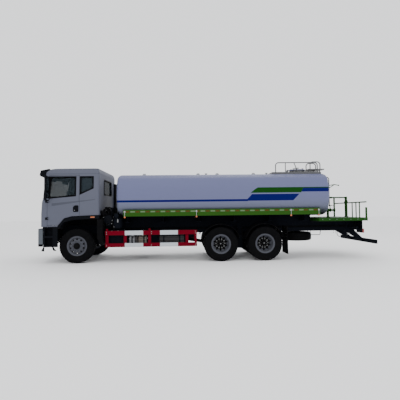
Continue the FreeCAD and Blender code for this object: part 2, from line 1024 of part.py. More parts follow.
def leaf_springs():
    """Front spring packs with hangers and the rear rocking packs with their seats."""
    rail_y = D.frame_half_width
    beam_top = AXLE_Z - D.beam_drop + D.beam_height / 2
    front_low = beam_top + D.leaf * 4
    pieces = [
        leaf_pack("front_leaf", AXLE_1, D.spring_half_length, front_low, D.spring_arch, rail_y)
    ]
    hanger_top = RAIL_LOW
    for name, x in (
        ("front_hanger", AXLE_1 + D.spring_half_length),
        ("rear_hanger", AXLE_1 - D.spring_half_length),
    ):
        z_low = front_low + D.spring_arch
        hanger = box(
            name, (x - D.leaf * 2, x + D.leaf), (rail_y - D.leaf * 2, rail_y + D.leaf),
            (z_low, hanger_top),
        )
        pieces.append(hanger)
    seat = box(
        "front_seat",
        (AXLE_1 - D.beam_depth / 2, AXLE_1 + D.beam_depth / 2),
        (rail_y - D.spring_width / 2, rail_y + D.spring_width / 2),
        (beam_top, beam_top + D.leaf * 2),
    )
    pieces.append(seat)
    front = fuse("front_pack", pieces)
    rear_y = rail_y + D.spring_width
    trunnion_z = AXLE_Z + D.axle_tube_radius + D.leaf * 3
    outline = [
        (BOGIE - D.bogie_spring_half, AXLE_Z + D.axle_tube_radius),
        (BOGIE - D.bogie_spring_half, AXLE_Z + D.axle_tube_radius + D.leaf * 2),
        (BOGIE - D.bogie_spring_half / 2, trunnion_z + D.leaf * 4),
        (BOGIE, trunnion_z + D.leaf * 5),
        (BOGIE + D.bogie_spring_half / 2, trunnion_z + D.leaf * 4),
        (BOGIE + D.bogie_spring_half, AXLE_Z + D.axle_tube_radius + D.leaf * 2),
        (BOGIE + D.bogie_spring_half, AXLE_Z + D.axle_tube_radius),
        (BOGIE + D.bogie_spring_half / 2, trunnion_z),
        (BOGIE, trunnion_z - D.leaf),
        (BOGIE - D.bogie_spring_half / 2, trunnion_z),
    ]
    pack = prism(
        "bogie_pack", "XZ", outline, rear_y - D.spring_width / 2, rear_y + D.spring_width / 2
    )
    saddle = box(
        "bogie_saddle",
        (BOGIE - D.spring_width, BOGIE + D.spring_width),
        (rail_y, rear_y + D.spring_width / 2),
        (AXLE_Z - D.trunnion_drop - D.trunnion_radius, trunnion_z),
    )
    bracket = box(
        "bogie_bracket",
        (BOGIE - D.spring_width, BOGIE + D.spring_width),
        (rail_y, rail_y + D.rail_wall * 2),
        (trunnion_z, D.rail_top),
    )
    rear = fuse("bogie_side", [pack, saddle, bracket])
    beam = rod(
        "trunnion", "y", D.trunnion_radius,
        (BOGIE, -rail_y, AXLE_Z - D.trunnion_drop), rail_y * 2,
    )
    joined = fuse("bogie", [rear, mirrored("bogie_side_twin", rear), beam])
    return keep(
        "leaf_springs", group("leaf_springs", [front, mirrored("front_pack_twin", front), joined])
    )


# Cab shell

CAB_LEVELS = (
    ("cab_low", 0, 0),
    ("cab_sill_height", 0, 0),
    ("cab_crease_height", "cab_crease_setback", 0),
    ("cab_belt_height", "cab_belt_setback", 0),
    ("cab_eave_height", "cab_eave_setback", "cab_eave_inset"),
)


def front_wire(face, half, back, z, corner, back_corner, crown):
    """A plan outline with a crowned front, tangent front corners and round rear ones."""
    reach = crown - corner
    corner_y = half - corner
    middle_x = face - crown
    corner_x = middle_x + math.sqrt(reach * reach - corner_y * corner_y)
    lean = math.atan2(corner_y, corner_x - middle_x)
    meet = (middle_x + crown * math.cos(lean), crown * math.sin(lean))
    turn = (lean + math.pi / 2) / 2
    bend = (corner_x + corner * math.cos(turn), corner_y + corner * math.sin(turn))
    slack = back_corner * (1 - math.sqrt(0.5))

    def point(x, y):
        return FreeCAD.Vector(x, y, z)

    edges = [
        Part.Arc(point(meet[0], -meet[1]), point(face, 0), point(*meet)).toShape(),
        Part.Arc(point(*meet), point(*bend), point(corner_x, half)).toShape(),
        Part.LineSegment(point(corner_x, half), point(back + back_corner, half)).toShape(),
        Part.Arc(
            point(back + back_corner, half),
            point(back + slack, half - slack),
            point(back, half - back_corner),
        ).toShape(),
        Part.LineSegment(
            point(back, half - back_corner), point(back, back_corner - half)
        ).toShape(),
        Part.Arc(
            point(back, back_corner - half),
            point(back + slack, slack - half),
            point(back + back_corner, -half),
        ).toShape(),
        Part.LineSegment(point(back + back_corner, -half), point(corner_x, -half)).toShape(),
        Part.Arc(point(corner_x, -half), point(bend[0], -bend[1]), point(meet[0], -meet[1])).toShape(),
    ]
    return Part.Wire(edges)


def level_sizes(level, inset):
    """Height, face and half width of the cab at one level, moved in by an inset."""
    height, setback, narrow = level
    face = AXLE_1 + D.cab_face - (getattr(D, setback) if setback else 0) - inset
    half = D.cab_half_width - (getattr(D, narrow) if narrow else 0) - inset
    return float(getattr(D, height)), float(face), float(half)


def cab_block(inset):
    """The cab's outer form up to the eaves, or the form one inset inside it."""
    wires = []
    back = float(AXLE_1 - D.cab_back + inset)
    corner = float(D.cab_corner - inset)
    back_corner = max(float(D.cab_back_corner - inset), float(D.panel_gap))
    crown = float(D.cab_crown - inset)
    for level in CAB_LEVELS:
        height, face, half = level_sizes(level, inset)
        wires.append(front_wire(face, half, back, height, corner, back_corner, crown))
    return Part.makeLoft(wires, True, True)


def slab(x, y, z):
    """A plain block shape between planes, for cutting panels out of the shell."""
    low = vector(x[0], y[0], z[0])
    high = vector(x[1], y[1], z[1])
    return Part.makeBox(high.x - low.x, high.y - low.y, high.z - low.z, low)


def side_prism(points, y_low, y_high):
    """A side-view outline extruded across the truck."""
    low = float(y_low)
    vectors = [vector(x, low, z) for x, z in points]
    face = Part.Face(Part.makePolygon(vectors + vectors[:1]))
    return face.extrude(FreeCAD.Vector(0, float(y_high) - low, 0))


def fx(distance):
    """A place at a distance ahead of the front axle."""
    return AXLE_1 + distance


CAB_SPAN = (D.cab_low - D.cab_wall, D.cab_roof_height + D.cab_wall)
WIDE = D.cab_half_width + D.cab_wall


def arch_line(offset):
    """The upper edge of the wheel arch, from its front foot to its rear end."""
    return [
        (fx(D.arch_front), D.arch_sill + offset),
        (fx(D.arch_front * 0.66), D.arch_sill + (D.arch_crown - D.arch_sill) * 0.76 + offset),
        (fx(D.arch_front * 0.27), D.arch_sill + (D.arch_crown - D.arch_sill) * 0.96 + offset),
        (fx(-D.door_back), D.arch_crown + offset),
        (fx(-D.arch_back), D.arch_crown + D.arch_lip + offset),
    ]


def door_outline(gap):
    """The door's side outline, grown by a gap all round."""
    line = arch_line(-gap)
    return [
        (fx(D.pillar_front) + gap, D.arch_sill - gap),
        (line[0][0], line[0][1]),
        (line[1][0], line[1][1]),
        (line[2][0], line[2][1]),
        (fx(-D.door_back) - gap, line[3][1]),
        (fx(-D.door_back) - gap, D.door_top + gap),
        (fx(D.pillar_front - D.pillar_slope) + gap, D.door_top + gap),
        (fx(D.pillar_front) + gap, D.cab_belt_height + gap),
    ]


def window_outline():
    """The opening of the door's window."""
    return [
        (fx(D.window_front), D.window_low_front),
        (fx(D.window_back), D.window_low_back),
        (fx(D.window_back), D.window_top),
        (fx(D.window_front - D.pillar_slope), D.window_top),
    ]


def quarter_outline():
    """The opening of the small window behind the door."""
    front = fx(-D.quarter_front)
    back = fx(-D.quarter_back)
    return [
        (front, D.window_low_back + D.window_radius),
        (back, D.window_low_back + D.window_radius * 4),
        (back, D.window_top),
        (front, D.window_top),
    ]


def screen_tool():
    """The block that opens the windscreen."""
    return slab(
        (fx(D.pillar_front - D.pillar_slope), fx(D.cab_face) + D.cab_wall),
        (-D.screen_half_width, D.screen_half_width),
        (D.screen_low, D.screen_top),
    )


def rear_window_tool():
    """The block that opens the cab's rear window."""
    return slab(
        (fx(-D.cab_back) - D.cab_wall, fx(-D.cab_back) + D.cab_wall * 2),
        (-D.rear_window_half_width, D.rear_window_half_width),
        (D.rear_window_low, D.rear_window_top),
    )


def flap_tool(gap):
    """The block that takes the service flap out of the cab's front."""
    return slab(
        (fx(D.pillar_front), fx(D.cab_face) + D.cab_wall),
        (-D.flap_half_width - gap, D.flap_half_width + gap),
        (D.flap_low - gap, D.flap_top + gap),
    )


def grille_slots():
    """The row of slots through the service flap, each shorter than the one above it."""
    slots = []
    for index in range(GRILLE_SLOTS):
        low = D.grille_low + D.grille_pitch * index
        half = D.grille_half_width + D.grille_slot * (index - GRILLE_SLOTS / 2)
        outline = [
            vector(fx(D.pillar_front), y, z)
            for y, z in (
                (-half, low),
                (half, low),
                (half + D.grille_slot / 2, low + D.grille_slot),
                (-half - D.grille_slot / 2, low + D.grille_slot),
            )
        ]
        face = Part.Face(Part.makePolygon(outline + outline[:1]))
        slots.append(face.extrude(vector(D.cab_face, 0, 0)))
    return slots[0].fuse(slots[1:])


GRILLE_SLOTS = 5


def cab_shell():
    """Splits the cab's wall into its panels, doors, flap and glass."""
    outer = cab_block(term(0))
    wall = outer.cut(cab_block(D.cab_wall))
    skin = outer.cut(cab_block(D.flap_depth))
    pane = cab_block(D.cab_wall / 2 - D.glass / 2).cut(cab_block(D.cab_wall / 2 + D.glass / 2))
    gap = D.panel_gap
    zero = term(0)

    windows = [side_prism(window_outline(), zero, WIDE)]
    quarters = [side_prism(quarter_outline(), zero, WIDE)]
    door_block = side_prism(door_outline(zero), zero, WIDE)
    door_hole = side_prism(door_outline(gap), zero, WIDE)
    arch_points = arch_line(zero)
    arch_hole = side_prism(
        arch_points
        + [
            (fx(-D.cab_back) - D.cab_wall, D.arch_crown + D.arch_lip),
            (fx(-D.cab_back) - D.cab_wall, D.cab_low - D.cab_wall),
            (fx(D.arch_front), D.cab_low - D.cab_wall),
        ],
        zero, WIDE,
    )

    front_space = slab(
        (fx(D.pillar_front) + gap, fx(D.cab_face) + D.cab_wall), (-WIDE, WIDE), CAB_SPAN
    )
    slope_space = side_prism(
        [
            (fx(D.pillar_front) + gap, CAB_SPAN[0]),
            (fx(D.cab_face) + D.cab_wall, CAB_SPAN[0]),
            (fx(D.cab_face) + D.cab_wall, CAB_SPAN[1]),
            (fx(D.pillar_front - D.pillar_slope) + gap, CAB_SPAN[1]),
            (fx(D.pillar_front - D.pillar_slope) + gap, D.door_top + gap),
            (fx(D.pillar_front) + gap, D.cab_belt_height + gap),
        ],
        -WIDE, WIDE,
    )
    back_space = slab(
        (fx(-D.cab_back) - D.cab_wall, fx(-D.cab_back) + D.cab_wall), (-WIDE, WIDE), CAB_SPAN
    )
    front = wall.common(slope_space).cut(screen_tool())
    front = front.cut(skin.common(flap_tool(gap)))
    flap = skin.common(flap_tool(zero)).common(front_space).cut(grille_slots())
    rear = wall.common(back_space).cut(rear_window_tool())
    side = wall.cut(slope_space).cut(back_space)
    side = side.common(slab((fx(-D.cab_back), fx(D.cab_face)), (zero, WIDE), CAB_SPAN))
    side = side.cut(door_hole).cut(arch_hole)
    for opening in quarters:
        side = side.cut(opening)
    door = wall.common(door_block)
    for opening in windows:
        door = door.cut(opening)
    door_glass = pane.common(windows[0])
    quarter_glass = pane.common(quarters[0])
    screen = pane.common(screen_tool())
    rear_glass = pane.common(rear_window_tool())
    rear = rear.cut(arch_hole).cut(mirror_shape(arch_hole))
    return {
        "outer": outer,
        "inside": cab_block(D.cab_wall),
        "front": front,
        "flap": flap,
        "rear": rear,
        "side": side,
        "door": door,
        "door_glass": door_glass,
        "quarter_glass": quarter_glass,
        "screen": screen,
        "rear_glass": rear_glass,
    }


def door_hinges():
    """The outside hinges of the left door: the pillar's leaves with pins, and the door's."""
    x = fx(D.pillar_front) - D.door_hinge_inset
    y = D.cab_half_width + D.door_hinge_out
    barrel = D.hinge_barrel
    half = D.hinge_half
    middle = half * 0.36
    leaf_y = (y - barrel + D.seat_gap, y + D.door_hinge_out / 7)
    on_pillar = []
    on_door = []
    for z in (D.door_hinge_low, D.door_hinge_high):
        on_pillar.append(strut((x, y, z - half), (x, y, z + half), D.hinge_pin))
        for low, high in ((z - half, z - middle), (z + middle, z + half)):
            on_pillar.append(strut((x, y, low), (x, y, high), barrel))
            on_pillar.append(slab((x, x + D.hinge_leaf), leaf_y, (low, high)))
        foot = (D.cab_half_width, leaf_y[1])
        pad = D.door_hinge_inset + D.panel_gap * 2
        on_pillar.append(slab((x + pad, x + D.hinge_leaf), foot, (z - half, z + half)))
        low = z - middle + D.running_gap
        high = z + middle - D.running_gap
        leaf = strut((x, y, low), (x, y, high), barrel).fuse(
            slab((x - D.hinge_leaf / 2, x), foot, (low, high))
        )
        on_door.append(leaf.cut(strut((x, y, low), (x, y, high), D.hinge_pin + D.running_gap)))
    return on_pillar, on_door


def mirror_shape(shape):
    """A shape's mirror image across the truck's middle."""
    return shape.mirror(FreeCAD.Vector(), Y_AXIS)


def solids_of(*shapes):
    """One compound of all solids in some shapes."""
    found = []
    for shape in shapes:
        found.extend(shape.Solids)
    if len(found) == 1:
        return found[0]
    return Part.makeCompound(found)


def roof_block(inset, lift):
    """The domed roof above the eaves, or the space one inset inside it."""
    rise = float(D.cab_roof_height - D.cab_eave_height) - lift
    low = float(D.cab_eave_height)
    wires = []
    level_face = float(fx(D.cab_face) - D.cab_eave_setback) - inset
    level_half = float(D.cab_half_width - D.cab_eave_inset) - inset
    back = float(fx(-D.cab_back)) + inset
    for height_share, inset_share in ROOF_SHARES:
        pull = float(D.cab_corner) * inset_share
        wires.append(
            front_wire(
                level_face - pull * 2, level_half - pull, back + pull / 2, low + rise * height_share,
                float(D.cab_corner) - inset, float(D.cab_back_corner), float(D.cab_crown),
            )
        )
    return Part.makeLoft(wires, True, False)


ROOF_SHARES = ((0.0, 0.0), (0.35, 0.07), (0.70, 0.32), (0.92, 0.80), (1.0, 1.5))


def cab():
    """All of the cab's panels, glass and trim."""
    parts = cab_shell()
    keep("cab_front", feature("cab_front", solids_of(parts["front"])))
    keep("front_flap", feature("front_flap", solids_of(parts["flap"])))
    keep("cab_rear_wall", feature("cab_rear_wall", solids_of(parts["rear"])))
    side = parts["side"]
    keep("cab_sides", feature("cab_sides", solids_of(side, mirror_shape(side))))
    on_pillar, on_door = door_hinges()
    door = parts["door"].fuse(on_door)
    for name, turn in (("left", lambda s: s), ("right", mirror_shape)):
        keep("door_" + name, feature("door_" + name, solids_of(turn(door))))
        glass = solids_of(turn(parts["door_glass"]))
        keep("door_glass_" + name, feature("door_glass_" + name, glass))
    cab_floor(parts["inside"])
    cab_trim(parts["outer"], on_pillar)
    cab_inside(parts["inside"])
    quarter = parts["quarter_glass"]
    glass = solids_of(parts["screen"], parts["rear_glass"], quarter, mirror_shape(quarter))
    keep("cab_glass", feature("cab_glass", glass))
    roof = roof_block(0.0, 0.0).cut(roof_block(float(D.roof_wall), float(D.roof_wall)))
    keep("cab_roof", feature("cab_roof", solids_of(roof)))


def cab_floor(inside):
    """The stepped floor pan, low at the feet and high over the wheels, on its pivot lugs."""
    low = D.floor_top - D.floor_depth
    riser = fx(D.floor_riser)
    back = fx(-D.cab_back)
    front = fx(D.cab_face)
    section = [
        (back, D.floor_high - D.floor_depth),
        (riser - D.floor_depth, D.floor_high - D.floor_depth),
        (riser - D.floor_depth, low),
        (front, low),
        (front, D.floor_top),
        (riser, D.floor_top),
        (riser, D.floor_high),
        (back, D.floor_high),
    ]
    pan_half = D.cab_half_width - D.cab_wall - D.panel_gap * 2
    pan = side_prism(section, -pan_half, pan_half).common(inside)
    pivot = fx(D.pivot_x)
    lug_line = [
        (pivot - D.pivot_pin, D.pivot_z - D.pivot_pin),
        (pivot + D.pivot_pin, D.pivot_z - D.pivot_pin),
        (pivot + D.pivot_pin, D.pivot_z + D.pivot_pin),
        (pivot - D.pivot_pin, D.cab_low),
        (pivot - D.pivot_pin, low),
        (pivot - D.pivot_pin * 5, low),
    ]
    lugs = []
    for sign in (1, -1):
        for offset in (-0.75, 0.75):
            y = sign * D.pivot_y + offset * D.pivot_lug
            lug = side_prism(
                lug_line, y - D.pivot_lug / 5, y + D.pivot_lug / 5
            )
            bore = Part.makeCylinder(
                float(D.pivot_pin / 2 + D.running_gap), float(D.pivot_lug),
                vector(pivot, y - D.pivot_lug / 2, D.pivot_z), Y_AXIS,
            )
            lugs.append(lug.cut(bore))
    whole = pan.fuse(lugs)
    return keep("cab_floor", feature("cab_floor", solids_of(whole.removeSplitter())))


def cab_trim(outer, hinges):
    """The black visor, wheel-arch bands with liners, door hinges and the air intake."""
    line = arch_line(term(0))
    low_line = arch_line(-D.arch_band)
    shut = arch_line(-D.panel_gap * 2)
    door_end = fx(-D.door_back) - D.panel_gap
    top_line = shut[:3] + [(door_end, shut[3][1]), (door_end, line[3][1]), line[4]]
    band = prism(
        "arch_band", "XZ", top_line + list(reversed(low_line)),
        D.cab_half_width - D.cab_wall, D.cab_half_width + D.arch_lip,
    )
    liner_low = arch_line(-D.arch_band + D.liner)
    liner = prism(
        "arch_liner", "XZ", liner_low + list(reversed(low_line)),
        D.frame_half_width + D.spring_width * 2.4, D.cab_half_width - D.cab_wall,
    )
    arch = fuse("arch_side", [band, liner])
    duct = box(
        "intake_duct",
        (fx(-D.cab_back) - D.intake_depth - D.seat_gap, fx(-D.cab_back) - D.seat_gap),
        (-D.intake_y - D.intake_width / 2, -D.intake_y + D.intake_width / 2),
        (D.intake_low, D.intake_top),
    )
    visor = feature("visor", visor_shape().cut(outer).cut(roof_block(0.0, 0.0)).Solids[0])
    pillar = hinges[0].fuse(hinges[1:])
    pieces = [arch, mirrored("arch_side_twin", arch), visor, duct]
    for name, shape in (("hinges_left", pillar), ("hinges_right", mirror_shape(pillar))):
        pieces.append(feature(name, solids_of(shape)))
    return keep("cab_trim", group("cab_trim", pieces))


def visor_shape():
    """The sun visor's slanted section turned about the front's crown."""
    front = fx(D.cab_face) - D.cab_eave_setback
    tip = front + D.visor_reach
    rise = D.cab_roof_height - D.cab_eave_height
    points = [
        (front - D.visor_reach / 2, D.cab_eave_height + rise * 0.92),
        (tip - D.visor_lip, D.cab_eave_height + rise * 0.62),
        (tip, D.visor_low + D.visor_lip),
        (tip - D.visor_lip, D.visor_low),
        (front - D.visor_lip, D.cab_eave_height - D.visor_lip),
    ]
    vectors = [vector(x, 0, z) for x, z in points]
    face = Part.Face(Part.makePolygon(vectors + vectors[:1]))
    lean = math.degrees(math.asin(float(D.screen_half_width) / float(D.cab_crown)))
    centre = vector(front - D.cab_crown, 0, 0)
    face.rotate(centre, Z_AXIS, -lean)
    return face.revolve(centre, Z_AXIS, lean * 2)


def cab_inside(inside):
    """Dashboard with steering wheel, and the seats."""
    front = fx(D.pillar_front)
    outline = [
        (front - D.dash_depth, D.dash_low + D.cushion),
        (front, D.dash_low),
        (fx(D.cab_face), D.dash_low),
        (fx(D.cab_face), D.dash_top),
        (front - D.dash_depth / 2, D.dash_top),
        (front - D.dash_depth, D.dash_top - D.cushion / 2),
    ]
    inner = D.cab_half_width - D.cab_wall - D.panel_gap
    dash = feature("dash_body", side_prism(outline, -inner, inner).common(inside).Solids[0])
    column_start = vector(front - D.dash_depth / 2, D.seat_y, D.dash_top - D.cushion)
    centre = vector(fx(D.wheel_x) - D.wheel_radius, D.seat_y, D.wheel_z)
    along = (centre - column_start).normalize()
    column = Part.makeCylinder(
        float(D.wheel_rim) * 2, (centre - column_start).Length, column_start, along
    )
    ring = Part.makeTorus(float(D.wheel_radius), float(D.wheel_rim), centre, along)
    hub = Part.makeCylinder(float(D.wheel_rim) * 4, float(D.wheel_rim) * 2, centre, along)
    spokes = []
    cross = Y_AXIS
    spoke_start = centre - cross * float(D.wheel_radius)
    spokes.append(
        Part.makeCylinder(float(D.wheel_rim) * 0.7, float(D.wheel_radius) * 2, spoke_start, cross)
    )
    wheel = ring.fuse([column, hub] + spokes)
    steering = feature("steering_wheel", wheel)
    keep("dashboard", fuse("dashboard", [dash, steering]))

    seats = []
    for side, sign in (("left", 1), ("right", -1)):
        y = sign * D.seat_y
        span = (y - D.seat_width / 2, y + D.seat_width / 2)
        base = box(
            "seat_base_" + side,
            (fx(D.seat_x) - D.seat_depth, fx(D.seat_x)), span,
            (D.seat_height - D.cushion, D.seat_height),
        )
        back = prism(
            "seat_back_" + side, "XZ",
            [
                (fx(D.seat_x) - D.seat_depth, D.seat_height),
                (fx(D.seat_x) - D.seat_depth + D.cushion, D.seat_height),
                (fx(D.seat_x) - D.seat_depth + D.cushion / 2, D.seat_back_top),
                (fx(D.seat_x) - D.seat_depth - D.cushion / 4, D.seat_back_top),
            ],
            span[0], span[1],
        )
        stand = box(
            "seat_stand_" + side,
            (fx(D.seat_x) - D.seat_depth * 0.85, fx(D.seat_x) - D.seat_depth * 0.15),
            (y - D.seat_width / 3, y + D.seat_width / 3),
            (D.floor_high, D.seat_height - D.cushion),
        )
        seats.append(fuse("seat_" + side, [base, back, stand]))
    keep("seats", group("seats", seats))


def mirrors():
    """A tall mirror on two arms for each door."""
    for side, sign in (("left", 1), ("right", -1)):
        y_outer = D.mirror_y + D.mirror_half_width
        y_inner = D.mirror_y - D.mirror_half_width
        span = (y_inner, y_outer) if sign > 0 else (-y_outer, -y_inner)
        head = box(
            "mirror_head_" + side,
            (fx(D.mirror_x) - D.mirror_thick / 2, fx(D.mirror_x) + D.mirror_thick / 2),
            span, (D.mirror_low, D.mirror_top),
        )
        z_low = D.mirror_low + D.mirror_half_width / 2
        z_high = D.mirror_top - D.mirror_half_width / 2
        lean = D.cab_eave_inset / (D.cab_eave_height - D.cab_belt_height)
        skin_low = D.cab_half_width + D.seat_gap
        skin_high = D.cab_half_width - lean * (z_high - D.mirror_arm - D.cab_belt_height) + D.seat_gap
        arms = []
        for level, z, skin in (("low", z_low, skin_low), ("high", z_high, skin_high)):
            start = skin if sign > 0 else -D.mirror_y
            arms.append(
                rod(
                    "mirror_arm_%s_%s" % (level, side), "y", D.mirror_arm,
                    (fx(D.mirror_x), start, z), D.mirror_y - skin,
                )
            )
        keep("mirror_" + side, fuse("mirror_" + side, [head] + arms))


# Front end


def bumper_ring(inset):
    """The bumper's plan form, or the form one inset inside it."""
    wire = front_wire(
        float(fx(D.front_overhang) - inset), float(D.bumper_half_width - inset),
        float(fx(D.bumper_return)) - float(D.bumper_skin) * 4, float(D.bumper_low),
        float(D.cab_corner - inset), float(D.bumper_skin), float(D.cab_crown - inset),
    )
    return Part.Face(wire).extrude(vector(0, 0, D.bumper_top - D.bumper_low))


def front_bumper():
    """The crowned bumper skin with its lamp openings, and the lamps in them."""
    ring = bumper_ring(term(0)).cut(bumper_ring(D.bumper_skin))
    ahead = slab(
        (fx(D.bumper_return), fx(D.front_overhang) + D.bumper_skin),
        (-D.bumper_half_width - D.bumper_skin, D.bumper_half_width + D.bumper_skin),
        (D.bumper_low - D.bumper_skin, D.bumper_top + D.bumper_skin),
    )
    skin = ring.common(ahead)
    lamp_space = slab(
        (fx(D.bumper_return), fx(D.front_overhang) + D.bumper_skin),
        (D.headlamp_inner, D.headlamp_outer),
        (D.headlamp_low, D.headlamp_top),
    )
    hole = lamp_space.fuse(mirror_shape(lamp_space))
    brace = slab(
        (RAIL_FRONT - D.cross_depth, fx(D.front_overhang)),
        (D.frame_half_width - D.rail_flange, D.frame_half_width),
        (D.bumper_low + D.bumper_skin * 4, RAIL_LOW),
    )
    brace = brace.cut(ring)
    inner_part = min(brace.Solids, key=lambda solid: solid.BoundBox.XMin)
    socket = Part.makeCylinder(
        float(D.tow_socket), float(D.bumper_skin) * 3,
        vector(fx(D.front_overhang) - D.bumper_skin * 2, 0, D.tow_height), X_AXIS,
    )
    body = skin.cut([hole, socket]).fuse([inner_part, mirror_shape(inner_part)])
    keep("front_bumper", feature("front_bumper", solids_of(body)))
    gap = D.seat_gap
    lamp_block = slab(
        (fx(D.bumper_return), fx(D.front_overhang) + D.bumper_skin),
        (D.headlamp_inner + gap, D.headlamp_outer - gap),
        (D.headlamp_low + gap, D.headlamp_top - gap),
    )
    lamp = bumper_ring(term(0)).cut(bumper_ring(D.headlamp_depth)).common(lamp_block)
    keep("headlamps", feature("headlamps", solids_of(lamp, mirror_shape(lamp))))


def entry_steps():
    """The step boxes ahead of the front wheels."""
    outline = [
        (fx(D.step_clear), D.step_inner),
        (fx(D.step_front), D.step_inner),
        (fx(D.step_front), D.bumper_half_width - D.arch_lip),
        (fx(D.step_back), D.bumper_half_width - D.arch_lip),
        (fx(D.step_back), D.step_panel),
        (fx(D.step_clear), D.step_panel),
    ]
    block = prism("step_block", "XY", outline, D.step_low, D.step_top)
    wells = []
    rise = (D.step_top - D.step_low) / 2
    edge = D.arch_lip
    for index in range(2):
        base = D.step_low + rise * index
        wells.append(
            box(
                "step_well_%d" % index,
                (fx(D.step_clear) + edge * 2, fx(D.step_front) - edge * 2),
                (D.bumper_half_width - D.step_well, D.bumper_half_width),
                (base + edge * 2, base + rise - edge),
            )
        )
    side = cut("step_side", block, group("step_wells", wells))
    bracket = box(
        "step_bracket",
        (fx(D.step_clear) + edge, fx(D.step_front) - edge * 4),
        (D.frame_half_width, D.step_inner),
        (RAIL_LOW + edge, RAIL_LOW + edge * 3),
    )
    whole = fuse("step_whole", [side, bracket])
    return keep("entry_steps", both_sides("entry_steps", whole))


# Tank


def meet_circles(first, first_radius, second, second_radius):
    """The meeting point of two circles that lies up and to the left side."""
    dy = second[0] - first[0]
    dz = second[1] - first[1]
    apart = math.hypot(dy, dz)
    along = (first_radius**2 - second_radius**2 + apart**2) / (2 * apart)
    across = math.sqrt(first_radius**2 - along**2)
    base = (first[0] + dy * along / apart, first[1] + dz * along / apart)
    options = [
        (base[0] - dz * across / apart, base[1] + dy * across / apart),
        (base[0] + dz * across / apart, base[1] - dy * across / apart),
    ]
    return max(options)


def oval_wire(x, inset):
    """The tank's section: low arcs above and below, side arcs and round corners."""
    half = float(D.tank_half_width - inset)
    low = float(D.tank_low + inset)
    top = float(D.tank_top - inset)
    corner = float(D.tank_corner - inset)
    cap_radius = float(D.tank_cap_radius - inset)
    side_radius = float(D.tank_side_radius - inset)
    middle = (low + top) / 2
    cap = (0.0, top - cap_radius)
    side = (half - side_radius, middle)
    centre = meet_circles(cap, cap_radius - corner, side, side_radius - corner)
    cap_lean = math.atan2(centre[0] - cap[0], centre[1] - cap[1])
    side_lean = math.atan2(centre[1] - side[1], centre[0] - side[0])
    cap_end = (cap_radius * math.sin(cap_lean), cap[1] + cap_radius * math.cos(cap_lean))
    side_end = (side[0] + side_radius * math.cos(side_lean), middle + side_radius * math.sin(side_lean))
    turn = (math.pi / 2 - cap_lean + side_lean) / 2
    bend = (centre[0] + corner * math.cos(turn), centre[1] + corner * math.sin(turn))

    def point(y_sign, z_sign, spot):
        return vector(x, y_sign * spot[0], middle + z_sign * (spot[1] - middle))

    def arc(a, b, c):
        return Part.Arc(a, b, c).toShape()

    crown = (0.0, top)
    flank = (half, middle)
    edges = [
        arc(point(-1, 1, cap_end), point(1, 1, crown), point(1, 1, cap_end)),
        arc(point(1, 1, cap_end), point(1, 1, bend), point(1, 1, side_end)),
        arc(point(1, 1, side_end), point(1, 1, flank), point(1, -1, side_end)),
        arc(point(1, -1, side_end), point(1, -1, bend), point(1, -1, cap_end)),
        arc(point(1, -1, cap_end), point(1, -1, crown), point(-1, -1, cap_end)),
        arc(point(-1, -1, cap_end), point(-1, -1, bend), point(-1, -1, side_end)),
        arc(point(-1, -1, side_end), point(-1, 1, flank), point(-1, 1, side_end)),
        arc(point(-1, 1, side_end), point(-1, 1, bend), point(-1, 1, cap_end)),
    ]
    return Part.Wire(edges)


def tank_form():
    """The tank's shell with dished ends and rounded knuckles."""
    front = fx(-D.tank_front)
    back = fx(-D.tank_back)
    run = Part.Face(oval_wire(back, term(0))).extrude(vector(front - back, 0, 0))
    reach = D.tank_dish_back / 2
    run = run.cut(dish_tool(back, D.tank_dish_back, 1)).Solids[0]
    run = run.cut(dish_tool(front, D.tank_dish_front, -1)).Solids[0]
    run = rounded_rim(run, back - D.tank_knuckle, back + reach)
    return rounded_rim(run, front - reach, front + D.tank_knuckle)


def dish_tool(apex_x, radius, inward):
    """The space outside a dished end: a plate hollowed by the dish's round face."""
    middle = (D.tank_low + D.tank_top) / 2
    bulge = float(radius)
    reach = float(WIDE) * 1.3
    rim = bulge - math.sqrt(bulge * bulge - reach * reach)
    half = bulge - math.sqrt(bulge * bulge - reach * reach / 4)
    apex = vector(apex_x, 0, middle)
    outside = apex - X_AXIS * (inward * float(D.tank_knuckle) * 2)
    edges = [
        Part.Arc(
            apex,
            apex + X_AXIS * (inward * half) + Z_AXIS * (reach / 2),
            apex + X_AXIS * (inward * rim) + Z_AXIS * reach,
        ).toShape(),
        Part.LineSegment(
            apex + X_AXIS * (inward * rim) + Z_AXIS * reach, outside + Z_AXIS * reach
        ).toShape(),
        Part.LineSegment(outside + Z_AXIS * reach, outside).toShape(),
        Part.LineSegment(outside, apex).toShape(),
    ]
    return Part.Face(Part.Wire(edges)).revolve(apex, X_AXIS, 360)


def rounded_rim(shape, low, high):
    """Rounds the sharp rim of a dished end that lies between two x places."""
    rims = []
    for edge in shape.Edges:
        span = edge.BoundBox
        if edge.Degenerated or edge.Curve.TypeId == "Part::GeomLine":
            continue
        if span.XMin > float(low) and span.XMax < float(high):
            rims.append(edge)
    return shape.makeFillet(float(D.tank_knuckle), rims)


